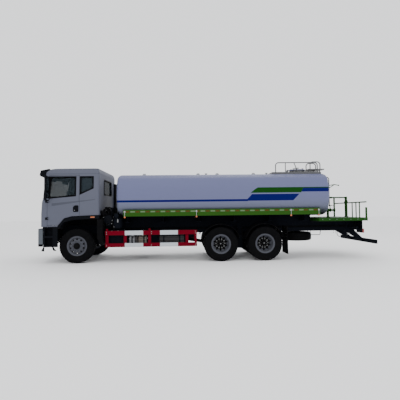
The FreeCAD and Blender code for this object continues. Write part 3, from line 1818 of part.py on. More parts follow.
def tank_saddles(shell):
    """The sub-frame beams and the saddle plates that fit the tank's underside."""
    pieces = []
    low = D.rail_top
    inner = D.frame_half_width - D.rail_flange
    front = fx(-D.tank_front - D.tank_knuckle * 3)
    back = fx(-D.platform_front) + D.seat_gap
    for sign in (1, -1):
        span = (inner, D.frame_half_width) if sign > 0 else (-D.frame_half_width, -inner)
        beam = side_prism(
            [
                (back, low),
                (fx(-D.subframe_front), low),
                (fx(-D.subframe_front) - D.subframe_toe / 4, low + D.subframe_toe),
                (front, D.tank_low + D.subframe_height),
                (back, D.tank_low + D.subframe_height),
            ],
            *span
        )
        pieces.append(beam.cut(shell))
    saddle_top = (D.tank_low + D.tank_top) / 2 - D.tank_corner / 2
    length = D.tank_back - D.tank_front
    for share in SADDLE_SHARES:
        x = fx(-D.tank_front) - length * share
        plate = slab(
            (x - D.saddle_thick / 2, x + D.saddle_thick / 2),
            (-D.saddle_half_width, D.saddle_half_width),
            (low + D.subframe_height, saddle_top - D.tank_corner / 2),
        )
        base = slab(
            (x - D.saddle_thick * 4, x + D.saddle_thick * 4),
            (-D.saddle_half_width, D.saddle_half_width),
            (low + D.subframe_height - D.saddle_thick, low + D.subframe_height),
        )
        pieces.append(plate.cut(shell))
        pieces.append(base)
    whole = pieces[0].fuse(pieces[1:])
    keep("tank_saddles", feature("tank_saddles", solids_of(whole.removeSplitter())))


SADDLE_SHARES = (0.06, 0.22, 0.38, 0.54, 0.70, 0.86)


def tank_skirts(shell):
    """The long lower side bands of the tank."""
    band = slab(
        (fx(-D.skirt_back), fx(-D.skirt_front)),
        (D.skirt_y - D.skirt_wall, D.skirt_y),
        (D.skirt_low, D.skirt_top),
    ).cut(shell)
    keep("tank_skirts", feature("tank_skirts", solids_of(band, mirror_shape(band))))


def tube_along(points, radius, bend):
    """A round tube along bent runs, as a bare shape."""
    spine = bent_wire([vector(*point) for point in points], float(bend))
    start = spine.Edges[0].valueAt(spine.Edges[0].FirstParameter)
    along = spine.Edges[0].tangentAt(spine.Edges[0].FirstParameter)
    circle = Part.Wire(Part.Circle(start, along, float(radius)).toShape())
    return spine.makePipeShell([circle], True, False, 1)


def strut(start, end, radius):
    """A straight round bar between two points."""
    first = vector(*start)
    way = vector(*end) - first
    return Part.makeCylinder(float(radius), way.Length, first, way)


def ladder(shell):
    """The rear ladder's stiles, rungs and the stays that hold it off the tank."""
    tube = D.rail_tube
    x = fx(-D.ladder_x)
    half = D.walkway_half_width * 0.6
    pieces = []
    for y in (-half, half):
        line = [(x + D.tank_corner, y, D.ladder_top), (x, y, D.ladder_top), (x, y, D.ladder_low)]
        pieces.append(tube_along(line, tube * 0.9, tube * 4).cut(shell).Solids[0])
        for share in LADDER_STAYS:
            z = D.ladder_low + (D.ladder_top - D.ladder_low) * share
            stay = strut((x, y, z), (x + D.tank_corner, y, z), tube * 0.6)
            pieces.append(stay.cut(shell).Solids[0])
    for index in range(LADDER_RUNGS):
        rise = D.ladder_top - D.ladder_low - tube * 8
        z = D.ladder_low + tube * 2 + rise * index / (LADDER_RUNGS - 1)
        pieces.append(strut((x, -half, z), (x, half, z), tube * 0.65))
    return pieces


LADDER_STAYS = (0.12, 0.72)
LADDER_RUNGS = 5
HAND_RAIL_SHARES = (0.235, 0.44, 0.535)


def tank_top(shell):
    """The walkway on the tank with its hand rail, the ladder's hoops and the manhole."""
    plate_top = D.walkway_height
    front = fx(-D.walkway_front)
    back = fx(-D.walkway_back)
    low = D.tank_top - D.tank_corner / 4
    wide = D.walkway_half_width
    wall = D.walkway_plate
    tray = slab((back, front), (-wide, wide), (low, plate_top))
    hollow = slab((back + wall, front - wall), (wall - wide, wide - wall), (low, plate_top - wall))
    centre = vector(fx(-D.coaming_x), 0, low)
    height = float(plate_top + D.coaming_height - low)
    coaming = Part.makeCylinder(float(D.coaming_radius), height, centre, Z_AXIS)
    deck = tray.cut(hollow).fuse(coaming).cut(shell)
    tube = D.rail_tube
    step_top = plate_top + D.step_height
    step_front = fx(-D.coaming_x) - D.lid_radius - D.lid_thick
    step_back = back - D.lid_lug * 2
    pieces = [
        slab((step_back, step_front), (tube - wide, wide - tube), (step_top - D.step_plate, step_top))
    ]
    for x in (step_front - tube * 2, back + tube * 2):
        for y in (tube * 3 - wide, wide - tube * 3):
            pieces.append(strut((x, y, plate_top - wall), (x, y, step_top - wall), tube))
    hoop_top = plate_top + D.hoop_height - tube
    for y in (-wide * 0.6, wide * 0.6):
        ends = (step_front - tube * 6, back - tube)
        line = [
            (ends[0], y, step_top - wall),
            (ends[0], y, hoop_top),
            (ends[1], y, hoop_top),
            (ends[1], y, step_top - wall),
        ]
        pieces.append(tube_along(line, tube, tube * 6))
    rail_y = wide - tube
    rail_top = plate_top + D.hand_rail_height - tube
    rail_front = front - D.lid_lug * 2
    rail_back = back + D.lid_lug * 2
    line = [
        (rail_front, rail_y, plate_top - wall),
        (rail_front, rail_y, rail_top),
        (rail_back, rail_y, rail_top),
        (rail_back, rail_y, plate_top - wall),
    ]
    pieces.append(tube_along(line, tube, tube * 6))
    upright, brace, foot = [rail_front - (rail_front - rail_back) * t for t in HAND_RAIL_SHARES]
    thin = tube * 0.86
    pieces.append(strut((upright, rail_y, plate_top - wall), (upright, rail_y, rail_top), thin))
    pieces.append(strut((foot, rail_y, plate_top - wall), (brace, rail_y, rail_top), thin))
    pieces.extend(ladder(shell))
    hinge_x = fx(-D.coaming_x) + D.lid_hinge
    hinge_z = plate_top + D.coaming_height + D.lid_thick / 2
    lug = D.lid_pin * 2.2
    for sign in (1, -1):
        y = sign * (D.lid_lug - D.lid_pin / 2)
        pieces.append(
            slab(
                (hinge_x - lug, hinge_x + lug), (y - D.lid_pin * 0.75, y + D.lid_pin * 0.75),
                (plate_top - wall, hinge_z + lug),
            )
        )
    pin_end = D.lid_lug
    pieces.append(strut((hinge_x, -pin_end, hinge_z), (hinge_x, pin_end, hinge_z), D.lid_pin))
    keep("tank_top_rail", feature("tank_top_rail", solids_of(deck.fuse(pieces))))
    lid_low = plate_top + D.coaming_height + D.seat_gap
    lid = rod("lid_plate", "z", D.lid_radius, (fx(-D.coaming_x), term(0), lid_low), D.lid_thick)
    grip = rod("lid_grip", "z", D.lid_thick, (fx(-D.coaming_x), term(0), lid_low), D.lid_thick * 2)
    ear_half = D.lid_lug - D.lid_pin * 2
    ear = box(
        "lid_ear", (hinge_x - (D.lid_hinge - D.lid_radius) * 1.3, hinge_x), (-ear_half, ear_half),
        (lid_low + D.lid_pin / 2, hinge_z + D.lid_pin),
    )
    barrel = rod(
        "lid_barrel", "y", D.lid_pin * 2, (hinge_x, -ear_half, hinge_z), ear_half * 2,
    )
    bore = rod(
        "lid_bore", "y", D.lid_pin + D.running_gap, (hinge_x, -D.lid_lug, hinge_z), D.lid_lug * 2,
    )
    keep("manhole_lid", cut("manhole_lid", fuse("lid_solid", [lid, grip, ear, barrel]), bore))


# Side equipment


def side_guards():
    """Two painted rails on posts along each side, with arms to the frame."""
    inner = D.guard_y - D.guard_thick
    pieces = []
    for name, low, high in (
        ("guard_top", D.guard_top_low, D.guard_top_high),
        ("guard_bottom", D.guard_bottom_low, D.guard_bottom_high),
    ):
        pieces.append(
            box(name, (fx(-D.guard_back), fx(-D.guard_front)), (inner, D.guard_y), (low, high))
        )
    length = D.guard_back - D.guard_front
    for index, share in enumerate((0.018, 0.215, 0.48, 0.89)):
        x = fx(-D.guard_front) - length * share
        pieces.append(
            box(
                "guard_post_%d" % index, (x - D.guard_post / 2, x + D.guard_post / 2),
                (inner - D.guard_thick / 2, inner), (D.guard_bottom_low, D.guard_top_high),
            )
        )
        if index % 2 == 0:
            pieces.append(
                box(
                    "guard_arm_%d" % index, (x - D.guard_thick, x + D.guard_thick),
                    (D.frame_half_width, inner),
                    (D.guard_top_high + D.guard_thick, D.guard_top_high + D.guard_thick * 2),
                )
            )
            pieces.append(
                box(
                    "guard_hook_%d" % index, (x - D.guard_thick, x + D.guard_thick),
                    (inner - D.guard_thick / 2, inner),
                    (D.guard_top_high, D.guard_top_high + D.guard_thick * 2),
                )
            )
    side = fuse("guard_side", pieces)
    return keep("side_guards", both_sides("side_guards", side))


def side_equipment():
    """Battery box, air tanks and silencer on the left, fuel tank on the right."""
    bracket = D.guard_thick
    battery = fuse(
        "battery_whole",
        [
            box(
                "battery_case", (fx(-D.battery_back), fx(-D.battery_front)),
                (D.box_inner, D.box_outer), (D.battery_low, D.battery_top),
            ),
            box(
                "battery_arm",
                (fx(-D.battery_back) + bracket * 4, fx(-D.battery_front) - bracket * 4),
                (D.frame_half_width, D.box_inner), (RAIL_LOW + bracket, D.battery_top - bracket),
            ),
        ],
    )
    keep("battery_box", battery)
    cylinders = []
    for name, front, back, radius in (
        ("air_tank", D.air_tank_front, D.air_tank_back, D.air_tank_radius),
        ("silencer", D.silencer_front, D.silencer_back, D.silencer_radius),
    ):
        body = rod(
            name + "_body", "x", radius,
            (fx(-back), D.side_tank_y, D.side_tank_z), back - front,
        )
        arms = [body]
        for index, share in enumerate((0.2, 0.8)):
            x = fx(-back) + (back - front) * share
            arms.append(
                box(
                    "%s_arm_%d" % (name, index), (x - bracket, x + bracket),
                    (D.frame_half_width, D.side_tank_y + radius + bracket / 2),
                    (D.side_tank_z + radius - bracket / 2, D.side_tank_z + radius + bracket),
                )
            )
            arms.append(
                box(
                    "%s_foot_%d" % (name, index), (x - bracket, x + bracket),
                    (D.frame_half_width, D.frame_half_width + bracket),
                    (D.side_tank_z + radius, RAIL_LOW + bracket * 3),
                )
            )
        cylinders.append(fuse(name, arms))
    keep("air_tanks", group("air_tanks", cylinders))
    tank = box(
        "fuel_case", (fx(-D.fuel_back), fx(-D.fuel_front)),
        (-D.box_outer, -D.box_inner), (D.fuel_low, D.fuel_top),
    )
    straps = [tank]
    for index, share in enumerate((0.2, 0.8)):
        x = fx(-D.fuel_back) + (D.fuel_back - D.fuel_front) * share
        straps.append(
            box(
                "fuel_arm_%d" % index, (x - bracket, x + bracket),
                (-D.box_inner, -D.frame_half_width), (RAIL_LOW, D.fuel_top - bracket),
            )
        )
    keep("fuel_tank", fuse("fuel_tank", straps))


def arch_strip(name, x, y_span):
    """A half round guard over one wheel pair, with short straight skirts."""
    ring = rod(name + "_ring", "y", D.mudguard_radius, (x, y_span[0], AXLE_Z), y_span[1] - y_span[0])
    hollow = rod(
        name + "_hollow", "y", D.mudguard_radius - D.mudguard_wall,
        (x, y_span[0], AXLE_Z), y_span[1] - y_span[0],
    )
    arch = cut(name + "_arch", ring, hollow)
    reach = D.mudguard_radius * 2
    upper = box(
        name + "_upper", (x - reach, x + reach), y_span, (D.mudguard_low, D.mudguard_low + reach)
    )
    return common(name, arch, upper)


def mudguards():
    """Rear guards over both axles, front splash guards and the rubber flaps."""
    span = (D.mudguard_inner, D.mudguard_outer)
    first = arch_strip("guard_first", AXLE_2, span)
    second = arch_strip("guard_second", AXLE_3, span)
    stays = []
    for index, x in enumerate((AXLE_2, AXLE_3)):
        top = AXLE_Z + D.mudguard_radius
        stays.append(
            rod(
                "guard_stay_%d" % index, "y", D.mudguard_wall * 1.5,
                (x, D.frame_half_width, top - D.mudguard_wall * 1.5),
                D.mudguard_outer - D.frame_half_width,
            )
        )
    side = fuse("guard_pair", [first, second] + stays)
    splash_back = fx(-D.arch_back) - D.arch_band
    splash_top = D.arch_crown + D.arch_lip - D.arch_band - D.arch_lip
    splash = box(
        "front_splash", (splash_back, splash_back + D.mudguard_wall),
        (D.kingpin_y - D.spring_width, D.cab_half_width), (D.bumper_low, splash_top),
    )
    skin = prism(
        "front_splash_skin", "XZ",
        [
            (splash_back, splash_top),
            (splash_back, D.bumper_low),
            (splash_back + D.arch_band / 2, D.bumper_low),
            (splash_back + D.arch_band * 1.55, D.bumper_low + D.arch_band * 2),
            (splash_back + D.arch_band * 1.55, splash_top),
        ],
        D.cab_half_width - D.mudguard_wall, D.cab_half_width,
    )
    splash_arm = box(
        "front_splash_arm",
        (fx(-D.arch_back) - D.arch_band, fx(-D.arch_back) - D.arch_band + D.mudguard_wall),
        (D.frame_half_width, D.kingpin_y - D.spring_width),
        (RAIL_LOW + D.arch_lip, RAIL_LOW + D.arch_band),
    )
    front = fuse("splash_side", [splash, skin, splash_arm])
    flap_x = AXLE_3 - D.mudguard_radius - D.flap_gap
    rubber = box(
        "rear_rubber", (flap_x - D.mudguard_wall, flap_x),
        (D.mudguard_inner + D.mudguard_wall, D.mudguard_outer),
        (D.rear_flap_low, D.rail_top - D.rail_flange),
    )
    flap_bar = rod(
        "rubber_bar", "y", D.mudguard_wall,
        (flap_x + D.mudguard_wall, D.frame_half_width, D.rail_top - D.rail_flange * 1.5),
        D.mudguard_outer - D.frame_half_width,
    )
    rubber_side = fuse("rubber_side", [rubber, flap_bar])
    left = group("mudguards_left", [side, front, rubber_side])
    return keep("mudguards", both_sides("mudguards", left))


def spare_wheel():
    """The spare tyre lying under the frame with its rim and carrier."""
    centre = (fx(-D.spare_x), term(0), D.spare_z)
    tyre_body = tyre("spare_tyre", *centre, axis="z")
    half = D.rim_width / 2
    outline = [
        (-half * 0.9, D.rim_barrel * 0.93),
        (-half * 0.9, D.rim_barrel),
        (half * 0.9, D.rim_barrel),
        (half * 0.9, D.rim_barrel * 0.93),
        (half * 0.3, D.rim_barrel * 0.9),
        (half * 0.3, term(0)),
        (half * 0.1, term(0)),
        (half * 0.1, D.rim_barrel * 0.86),
    ]
    rim = turned("spare_rim", "z", outline, centre)
    post = rod(
        "spare_post", "z", D.guard_thick, (centre[0], term(0), D.spare_z + half * 0.2),
        RAIL_LOW - D.spare_z - half * 0.2,
    )
    cross = box(
        "spare_cross", (centre[0] - D.guard_thick, centre[0] + D.guard_thick),
        (-D.frame_half_width, D.frame_half_width),
        (RAIL_LOW - D.guard_thick, RAIL_LOW),
    )
    carrier = fuse("spare_carrier", [rim, post, cross])
    return keep("spare_wheel", group("spare_wheel", [tyre_body, carrier]))


# Rear end


BALUSTER_SHARES = (0.608, 0.717, 0.8125)


def rear_platform():
    """The deck behind the tank with its posts, rails and tail panel."""
    top = D.platform_top
    low = top - D.platform_edge
    front = fx(-D.platform_front)
    back = fx(-D.platform_back)
    half = D.platform_half_width
    pieces = [
        box("deck", (back, front), (-half, half), (top - D.platform_plate, top)),
    ]
    edge = D.corner_post
    for name, x, y in (
        ("edge_left", (back, front), (half - edge, half)),
        ("edge_right", (back, front), (-half, edge - half)),
        ("edge_back", (back, back + edge), (-half, half)),
        ("edge_front", (front - edge, front), (-half, half)),
    ):
        pieces.append(box(name, x, y, (low, top)))
    for side, sign in (("left", 1), ("right", -1)):
        y_in = D.frame_half_width - D.rail_flange
        span = (y_in, D.frame_half_width) if sign > 0 else (-D.frame_half_width, -y_in)
        pieces.append(
            box("bearer_" + side, (back + edge, front - edge), span, (D.rail_top, top))
        )
    post = D.corner_post
    for name, y, height in (
        ("post_near", half - post, D.near_post_top),
        ("post_far", post - half, D.far_post_top),
    ):
        pieces.append(rod(name, "z", post, (back + post, y, top), height - top))
    rail = D.platform_rail
    pieces.append(
        rod(
            "rail_back", "y", rail, (back + post, post - half, D.platform_rail_top),
            (half - post) * 2,
        )
    )
    for index, share in enumerate(BALUSTER_SHARES):
        y = -half + half * 2 * share
        pieces.append(
            rod(
                "baluster_%d" % index, "z", rail * 0.9, (back + post, y, top),
                D.platform_rail_top - top,
            )
        )
    pieces.append(
        prism(
            "tail_plate", "YZ",
            [
                (-D.frame_half_width * 2, D.tail_low),
                (-D.frame_half_width - D.rail_flange, D.tail_low),
                (-D.frame_half_width - D.rail_flange, RAIL_LOW + D.rail_wall),
                (D.frame_half_width + D.rail_flange, RAIL_LOW + D.rail_wall),
                (D.frame_half_width + D.rail_flange, D.tail_low),
                (D.frame_half_width * 2, D.tail_low),
                (D.frame_half_width * 2, low),
                (-D.frame_half_width * 2, low),
            ],
            back, back + D.tail_panel,
        )
    )
    return keep("rear_platform", fuse("rear_platform", pieces))


def underrun_bar():
    """The rear underrun bar on two slanted arms."""
    back = -OVERALL / 2
    bar = box(
        "underrun", (back, back + D.underrun_depth),
        (-D.underrun_half_width, D.underrun_half_width),
        (D.underrun_low, D.underrun_low + D.underrun_height),
    )
    arms = [bar]
    for side, sign in (("left", 1), ("right", -1)):
        y = sign * (D.frame_half_width - D.rail_wall)
        arms.append(
            prism(
                "underrun_arm_" + side, "XZ",
                [
                    (back + D.underrun_depth, D.underrun_low),
                    (back + D.underrun_depth, D.underrun_low + D.underrun_height),
                    (RAIL_REAR, RAIL_LOW),
                    (RAIL_REAR + D.underrun_height * 3, RAIL_LOW),
                ],
                y - D.rail_wall, y + D.rail_wall,
            )
        )
    return keep("underrun_bar", fuse("underrun_bar", arms))


def lamps():
    """Tail lamps on the tail panel and marker lamps under the tank's bands."""
    pieces = []
    back = fx(-D.platform_back)
    for side, sign in (("left", 1), ("right", -1)):
        y = sign * D.frame_half_width * 1.7
        pieces.append(
            box(
                "tail_lamp_" + side,
                (back - D.lamp, back - D.seat_gap),
                (y - D.tail_lamp_height, y + D.tail_lamp_height),
                (D.tail_low + D.seat_gap, D.tail_low + D.tail_lamp_height),
            )
        )
    for index, share in enumerate((0.0, 0.365, 0.855, 1.0)):
        x = fx(-D.skirt_front) - (D.skirt_back - D.skirt_front) * share
        x = x + D.lamp * (1 - 2 * share) * -1
        for side, sign in (("left", 1), ("right", -1)):
            y_out = D.skirt_y
            y_in = D.skirt_y - D.lamp
            span = (y_in, y_out) if sign > 0 else (-y_out, -y_in)
            pieces.append(
                box(
                    "marker_%d_%s" % (index, side), (x - D.lamp / 2, x + D.lamp / 2), span,
                    (D.skirt_low - D.lamp, D.skirt_low - D.seat_gap),
                )
            )
    return keep("lamps", group("lamps", pieces))


def outlet_pipes(shell):
    """The tank's outlet with its valve, drop pipe and hose coupling, and the rear spray bracket."""
    y = D.pipe_y
    z = D.pipe_z
    radius = D.pipe_radius
    end = fx(-D.coupling_x)
    riser_x = fx(-D.riser_x)
    start = fx(-D.tank_back) + D.tank_corner
    pieces = [
        strut((end, y, z), (start, y, z), radius * 0.8),
        strut((riser_x, y, D.platform_top), (riser_x, y, z), radius * 0.9),
        Part.makeSphere(float(radius * 1.5), vector(riser_x, y, z)),
        strut((riser_x, y, z), (riser_x, y, z + radius * 3), radius * 0.3),
    ]
    for x, thick in ((end, D.flange_thick), (riser_x - radius * 2.2, D.flange_thick)):
        pieces.append(strut((x, y, z), (x + thick, y, z), D.flange))
    pieces.append(
        strut(
            (riser_x, y, D.platform_top), (riser_x, y, D.platform_top + D.flange_thick), D.flange
        )
    )
    bore = strut((end, y, z), (end + D.coupling_depth, y, z), D.coupling_bore)
    pipes = pieces[0].fuse(pieces[1:]).cut(bore).cut(shell)
    bar = D.spray_bar
    tip = (fx(-D.spray_reach), D.spray_y, D.spray_z)
    elbow = (fx(-D.spray_reach) + D.lid_radius / 2, D.spray_y, D.spray_z + bar * 2)
    root = fx(-D.tank_back) + D.tank_corner
    bracket = strut(elbow, tip, bar).fuse(
        [
            strut((root, D.spray_y, D.spray_z - bar * 3), elbow, bar * 0.9),
            strut((root, D.spray_y, D.spray_z - bar * 18), elbow, bar * 0.9),
            Part.makeSphere(float(bar * 1.6), vector(*tip)),
        ]
    )
    bracket = bracket.cut(shell)
    keep("pipework", feature("pipework", solids_of(pipes, bracket)))


def water_gear():
    """The water cannon: a stand, a turret that slews and a slim barrel that lifts."""
    top = D.platform_top
    x = fx(-D.cannon_x)
    y = D.cannon_y
    radius = D.cannon_pipe
    joint_z = D.cannon_joint_z
    head = D.cannon_head_z
    stand = fuse(
        "stand",
        [
            rod("stand_pipe", "z", radius, (x, y, top), joint_z - top),
            rod("stand_foot", "z", radius * 1.6, (x, y, top), D.flange_thick),
            rod(
                "stand_flange", "z", radius * 1.25, (x, y, joint_z - D.flange_thick),
                D.flange_thick,
            ),
        ],
    )
    keep("cannon_stand", stand)
    slim = D.cannon_barrel_radius
    fork_in = slim * 1.5 + D.seat_gap
    fork_out = fork_in + slim * 0.5
    base = joint_z + D.seat_gap
    pieces = [
        rod("turret_base", "z", radius * 1.25, (x, y, base), radius),
        rod("turret_neck", "z", slim, (x, y, base), head - base - slim * 2.6),
    ]
    for side, sign in (("left", 1), ("right", -1)):
        span = (y + fork_in, y + fork_out) if sign > 0 else (y - fork_out, y - fork_in)
        pieces.append(
            box("fork_" + side, (x - slim, x + slim), span, (base, head + slim * 1.2))
        )
    keep("cannon_turret", fuse("turret", pieces))
    tube = tube_along(
        [
            (x, y, head - slim * 1.9),
            (x, y, head),
            (x + D.cannon_barrel_length, y, head),
        ],
        slim * 0.9, slim * 1.6,
    )
    nozzle = strut(
        (x + D.cannon_barrel_length - slim * 3, y, head), (x + D.cannon_barrel_length, y, head),
        slim * 1.3,
    )
    pin = strut((x, y - fork_in, head), (x, y + fork_in, head), slim * 0.4)
    boss = strut((x, y - slim * 1.5, head), (x, y + slim * 1.5, head), slim)
    barrel = tube.fuse([nozzle, pin, boss])
    keep("cannon_barrel", feature("cannon_barrel", solids_of(barrel)))


chassis_frame()
engine()
drive_axles()
front_axle_beam()
leaf_springs()
for SIDE, SIGN in (("left", 1), ("right", -1)):
    knuckle(SIDE, SIGN)
    steer_wheel(SIDE, SIGN)
    drive_wheel("front_drive", AXLE_2, SIDE, SIGN)
    drive_wheel("rear_drive", AXLE_3, SIDE, SIGN)
cab()
mirrors()
front_bumper()
entry_steps()
TANK_SHAPE = tank_form()
keep("tank", feature("tank", TANK_SHAPE))
tank_saddles(TANK_SHAPE)
tank_skirts(TANK_SHAPE)
tank_top(TANK_SHAPE)
side_guards()
side_equipment()
mudguards()
spare_wheel()
rear_platform()
underrun_bar()
lamps()
outlet_pipes(TANK_SHAPE)
water_gear()

DOC.recompute()
for thing in DOC.Objects:
    if "Invalid" in thing.State or "Error" in thing.State:
        raise RuntimeError("%s has failed: %s" % (thing.Label, thing.State))
for name, thing in NODES:
    if thing.Shape.isNull() or not thing.Shape.isValid() or not thing.Shape.Solids:
        raise RuntimeError("%s has no valid shape" % name)
os.makedirs("parts", exist_ok=True)
for name, thing in NODES:
    thing.Shape.exportStep(os.path.join("parts", name + ".step"))
print("wrote %d sub-parts" % len(NODES))
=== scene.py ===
import logging
import math
from dataclasses import dataclass
from enum import Enum
from typing import Any, Callable, Iterable, Optional, Sequence, Union

import bmesh
import bpy
from mathutils import Matrix, Vector


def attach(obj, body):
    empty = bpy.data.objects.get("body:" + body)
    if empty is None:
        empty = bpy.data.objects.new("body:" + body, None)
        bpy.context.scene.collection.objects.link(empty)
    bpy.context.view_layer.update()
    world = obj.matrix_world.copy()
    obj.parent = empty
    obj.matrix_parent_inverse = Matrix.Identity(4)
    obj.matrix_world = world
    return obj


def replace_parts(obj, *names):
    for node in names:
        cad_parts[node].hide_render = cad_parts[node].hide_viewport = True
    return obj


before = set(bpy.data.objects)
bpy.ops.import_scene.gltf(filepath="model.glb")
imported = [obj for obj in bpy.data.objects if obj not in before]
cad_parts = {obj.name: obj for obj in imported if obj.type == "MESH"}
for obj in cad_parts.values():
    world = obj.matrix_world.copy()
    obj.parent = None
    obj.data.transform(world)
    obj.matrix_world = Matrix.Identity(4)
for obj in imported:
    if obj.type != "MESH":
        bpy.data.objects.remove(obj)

LOG = logging.getLogger("tanker_truck")
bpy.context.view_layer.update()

Colour = tuple[float, float, float]
Point = tuple[float, float, float]
Pair = tuple[float, float]
Number = Union["Sock", float]

AXLE_X = 3.955
DRIVE_X = (-0.395, -1.745)
HUB_Z = 0.52
SIGNS = (1.0, -1.0)
SIDES = (("left", 1.0), ("right", -1.0))

SHOULDER_Z = 2.04
EAVE_Z = 2.7
SKIN_HALF = 1.2
SKIN_LEAN = 0.045
DOOR_WINDOW = ((0.795, 1.985), (0.03, 2.05), (0.03, 2.595), (0.74, 2.595))
QUARTER_WINDOW = ((-0.135, 2.105), (-0.49, 2.27), (-0.49, 2.595), (-0.135, 2.595))
REAR_WINDOW = ((0.52, 2.095), (-0.52, 2.095), (-0.52, 2.55), (0.52, 2.55))

PITCH_BLACK = (0.002, 0.002, 0.0026)
ROAD_DUST = (0.12, 0.105, 0.088)
LENS_SHADE = (0.05, 0.02, 0.01)


def along(distance: float) -> float:
    """Returns the x of a distance ahead of the front axle."""
    return AXLE_X + distance


# Shader building


def maths(operation: str, turned: bool = False) -> Callable[["Sock", Number], "Sock"]:
    """Returns a method that adds one Math node of two numbers.

    Args:
        operation: The node's operation.
        turned: Whether the other number comes first.

    Returns:
        The method.
    """

    def method(self: "Sock", other: Number) -> "Sock":
        """Returns the operation's result."""
        return self.solved(operation, *((other, self) if turned else (self, other)))

    return method


class Sock:
    """One output of a node, used as a number in Python expressions."""

    def __init__(self, graph: "Graph", socket: bpy.types.NodeSocket) -> None:
        """Keeps the graph and the socket.

        Args:
            graph: The graph that the socket belongs to.
            socket: The output socket.
        """
        self.graph = graph
        self.socket = socket

    def solved(self, operation: str, *values: Number, clamp: bool = False) -> "Sock":
        """Adds one Math node.

        Args:
            operation: The node's operation.
            *values: Its inputs in order.
            clamp: Whether the result stays within 0 and 1.

        Returns:
            The node's output.
        """
        settings = {"operation": operation, "use_clamp": clamp}
        return self.graph.node("ShaderNodeMath", settings, dict(enumerate(values)))

    __add__, __radd__ = maths("ADD"), maths("ADD", True)
    __sub__, __rsub__ = maths("SUBTRACT"), maths("SUBTRACT", True)
    __mul__, __rmul__ = maths("MULTIPLY"), maths("MULTIPLY", True)
    __truediv__ = maths("DIVIDE")
    least, most = maths("MINIMUM"), maths("MAXIMUM")

    def size(self) -> "Sock":
        """Returns the number without its sign."""
        return self.solved("ABSOLUTE", self)

    def held(self) -> "Sock":
        """Returns the number kept within 0 and 1."""
        return self.solved("ADD", self, 0.0, clamp=True)

    def cycle(self, length: float) -> "Sock":
        """Returns the number's place within a repeat of one length."""
        return self.solved("WRAP", self, length, 0.0)

    def rise(self, low: float, high: float) -> "Sock":
        """Returns 0 below low and 1 above high, with a soft step between."""
        settings = {"interpolation_type": "SMOOTHSTEP"}
        inputs = {"Value": self, "From Min": low, "From Max": high}
        return self.graph.node("ShaderNodeMapRange", settings, inputs)

    def ramp(self, low: float, high: float) -> "Sock":
        """Returns 0 below low and 1 above high, with a straight line between."""
        return ((self - low) / (high - low)).held()

    def above(self, limit: Number, soft: float = 0.002) -> "Sock":
        """Returns 1 where the number is above a limit, with a thin soft edge."""
        return (self - limit).rise(-soft, soft)

    def below(self, limit: Number, soft: float = 0.002) -> "Sock":
        """Returns 1 where the number is below a limit, with a thin soft edge."""
        return (limit - self).rise(-soft, soft)

    def between(self, low: Number, high: Number, soft: float = 0.002) -> "Sock":
        """Returns 1 where the number lies between two limits."""
        return self.above(low, soft) * self.below(high, soft)


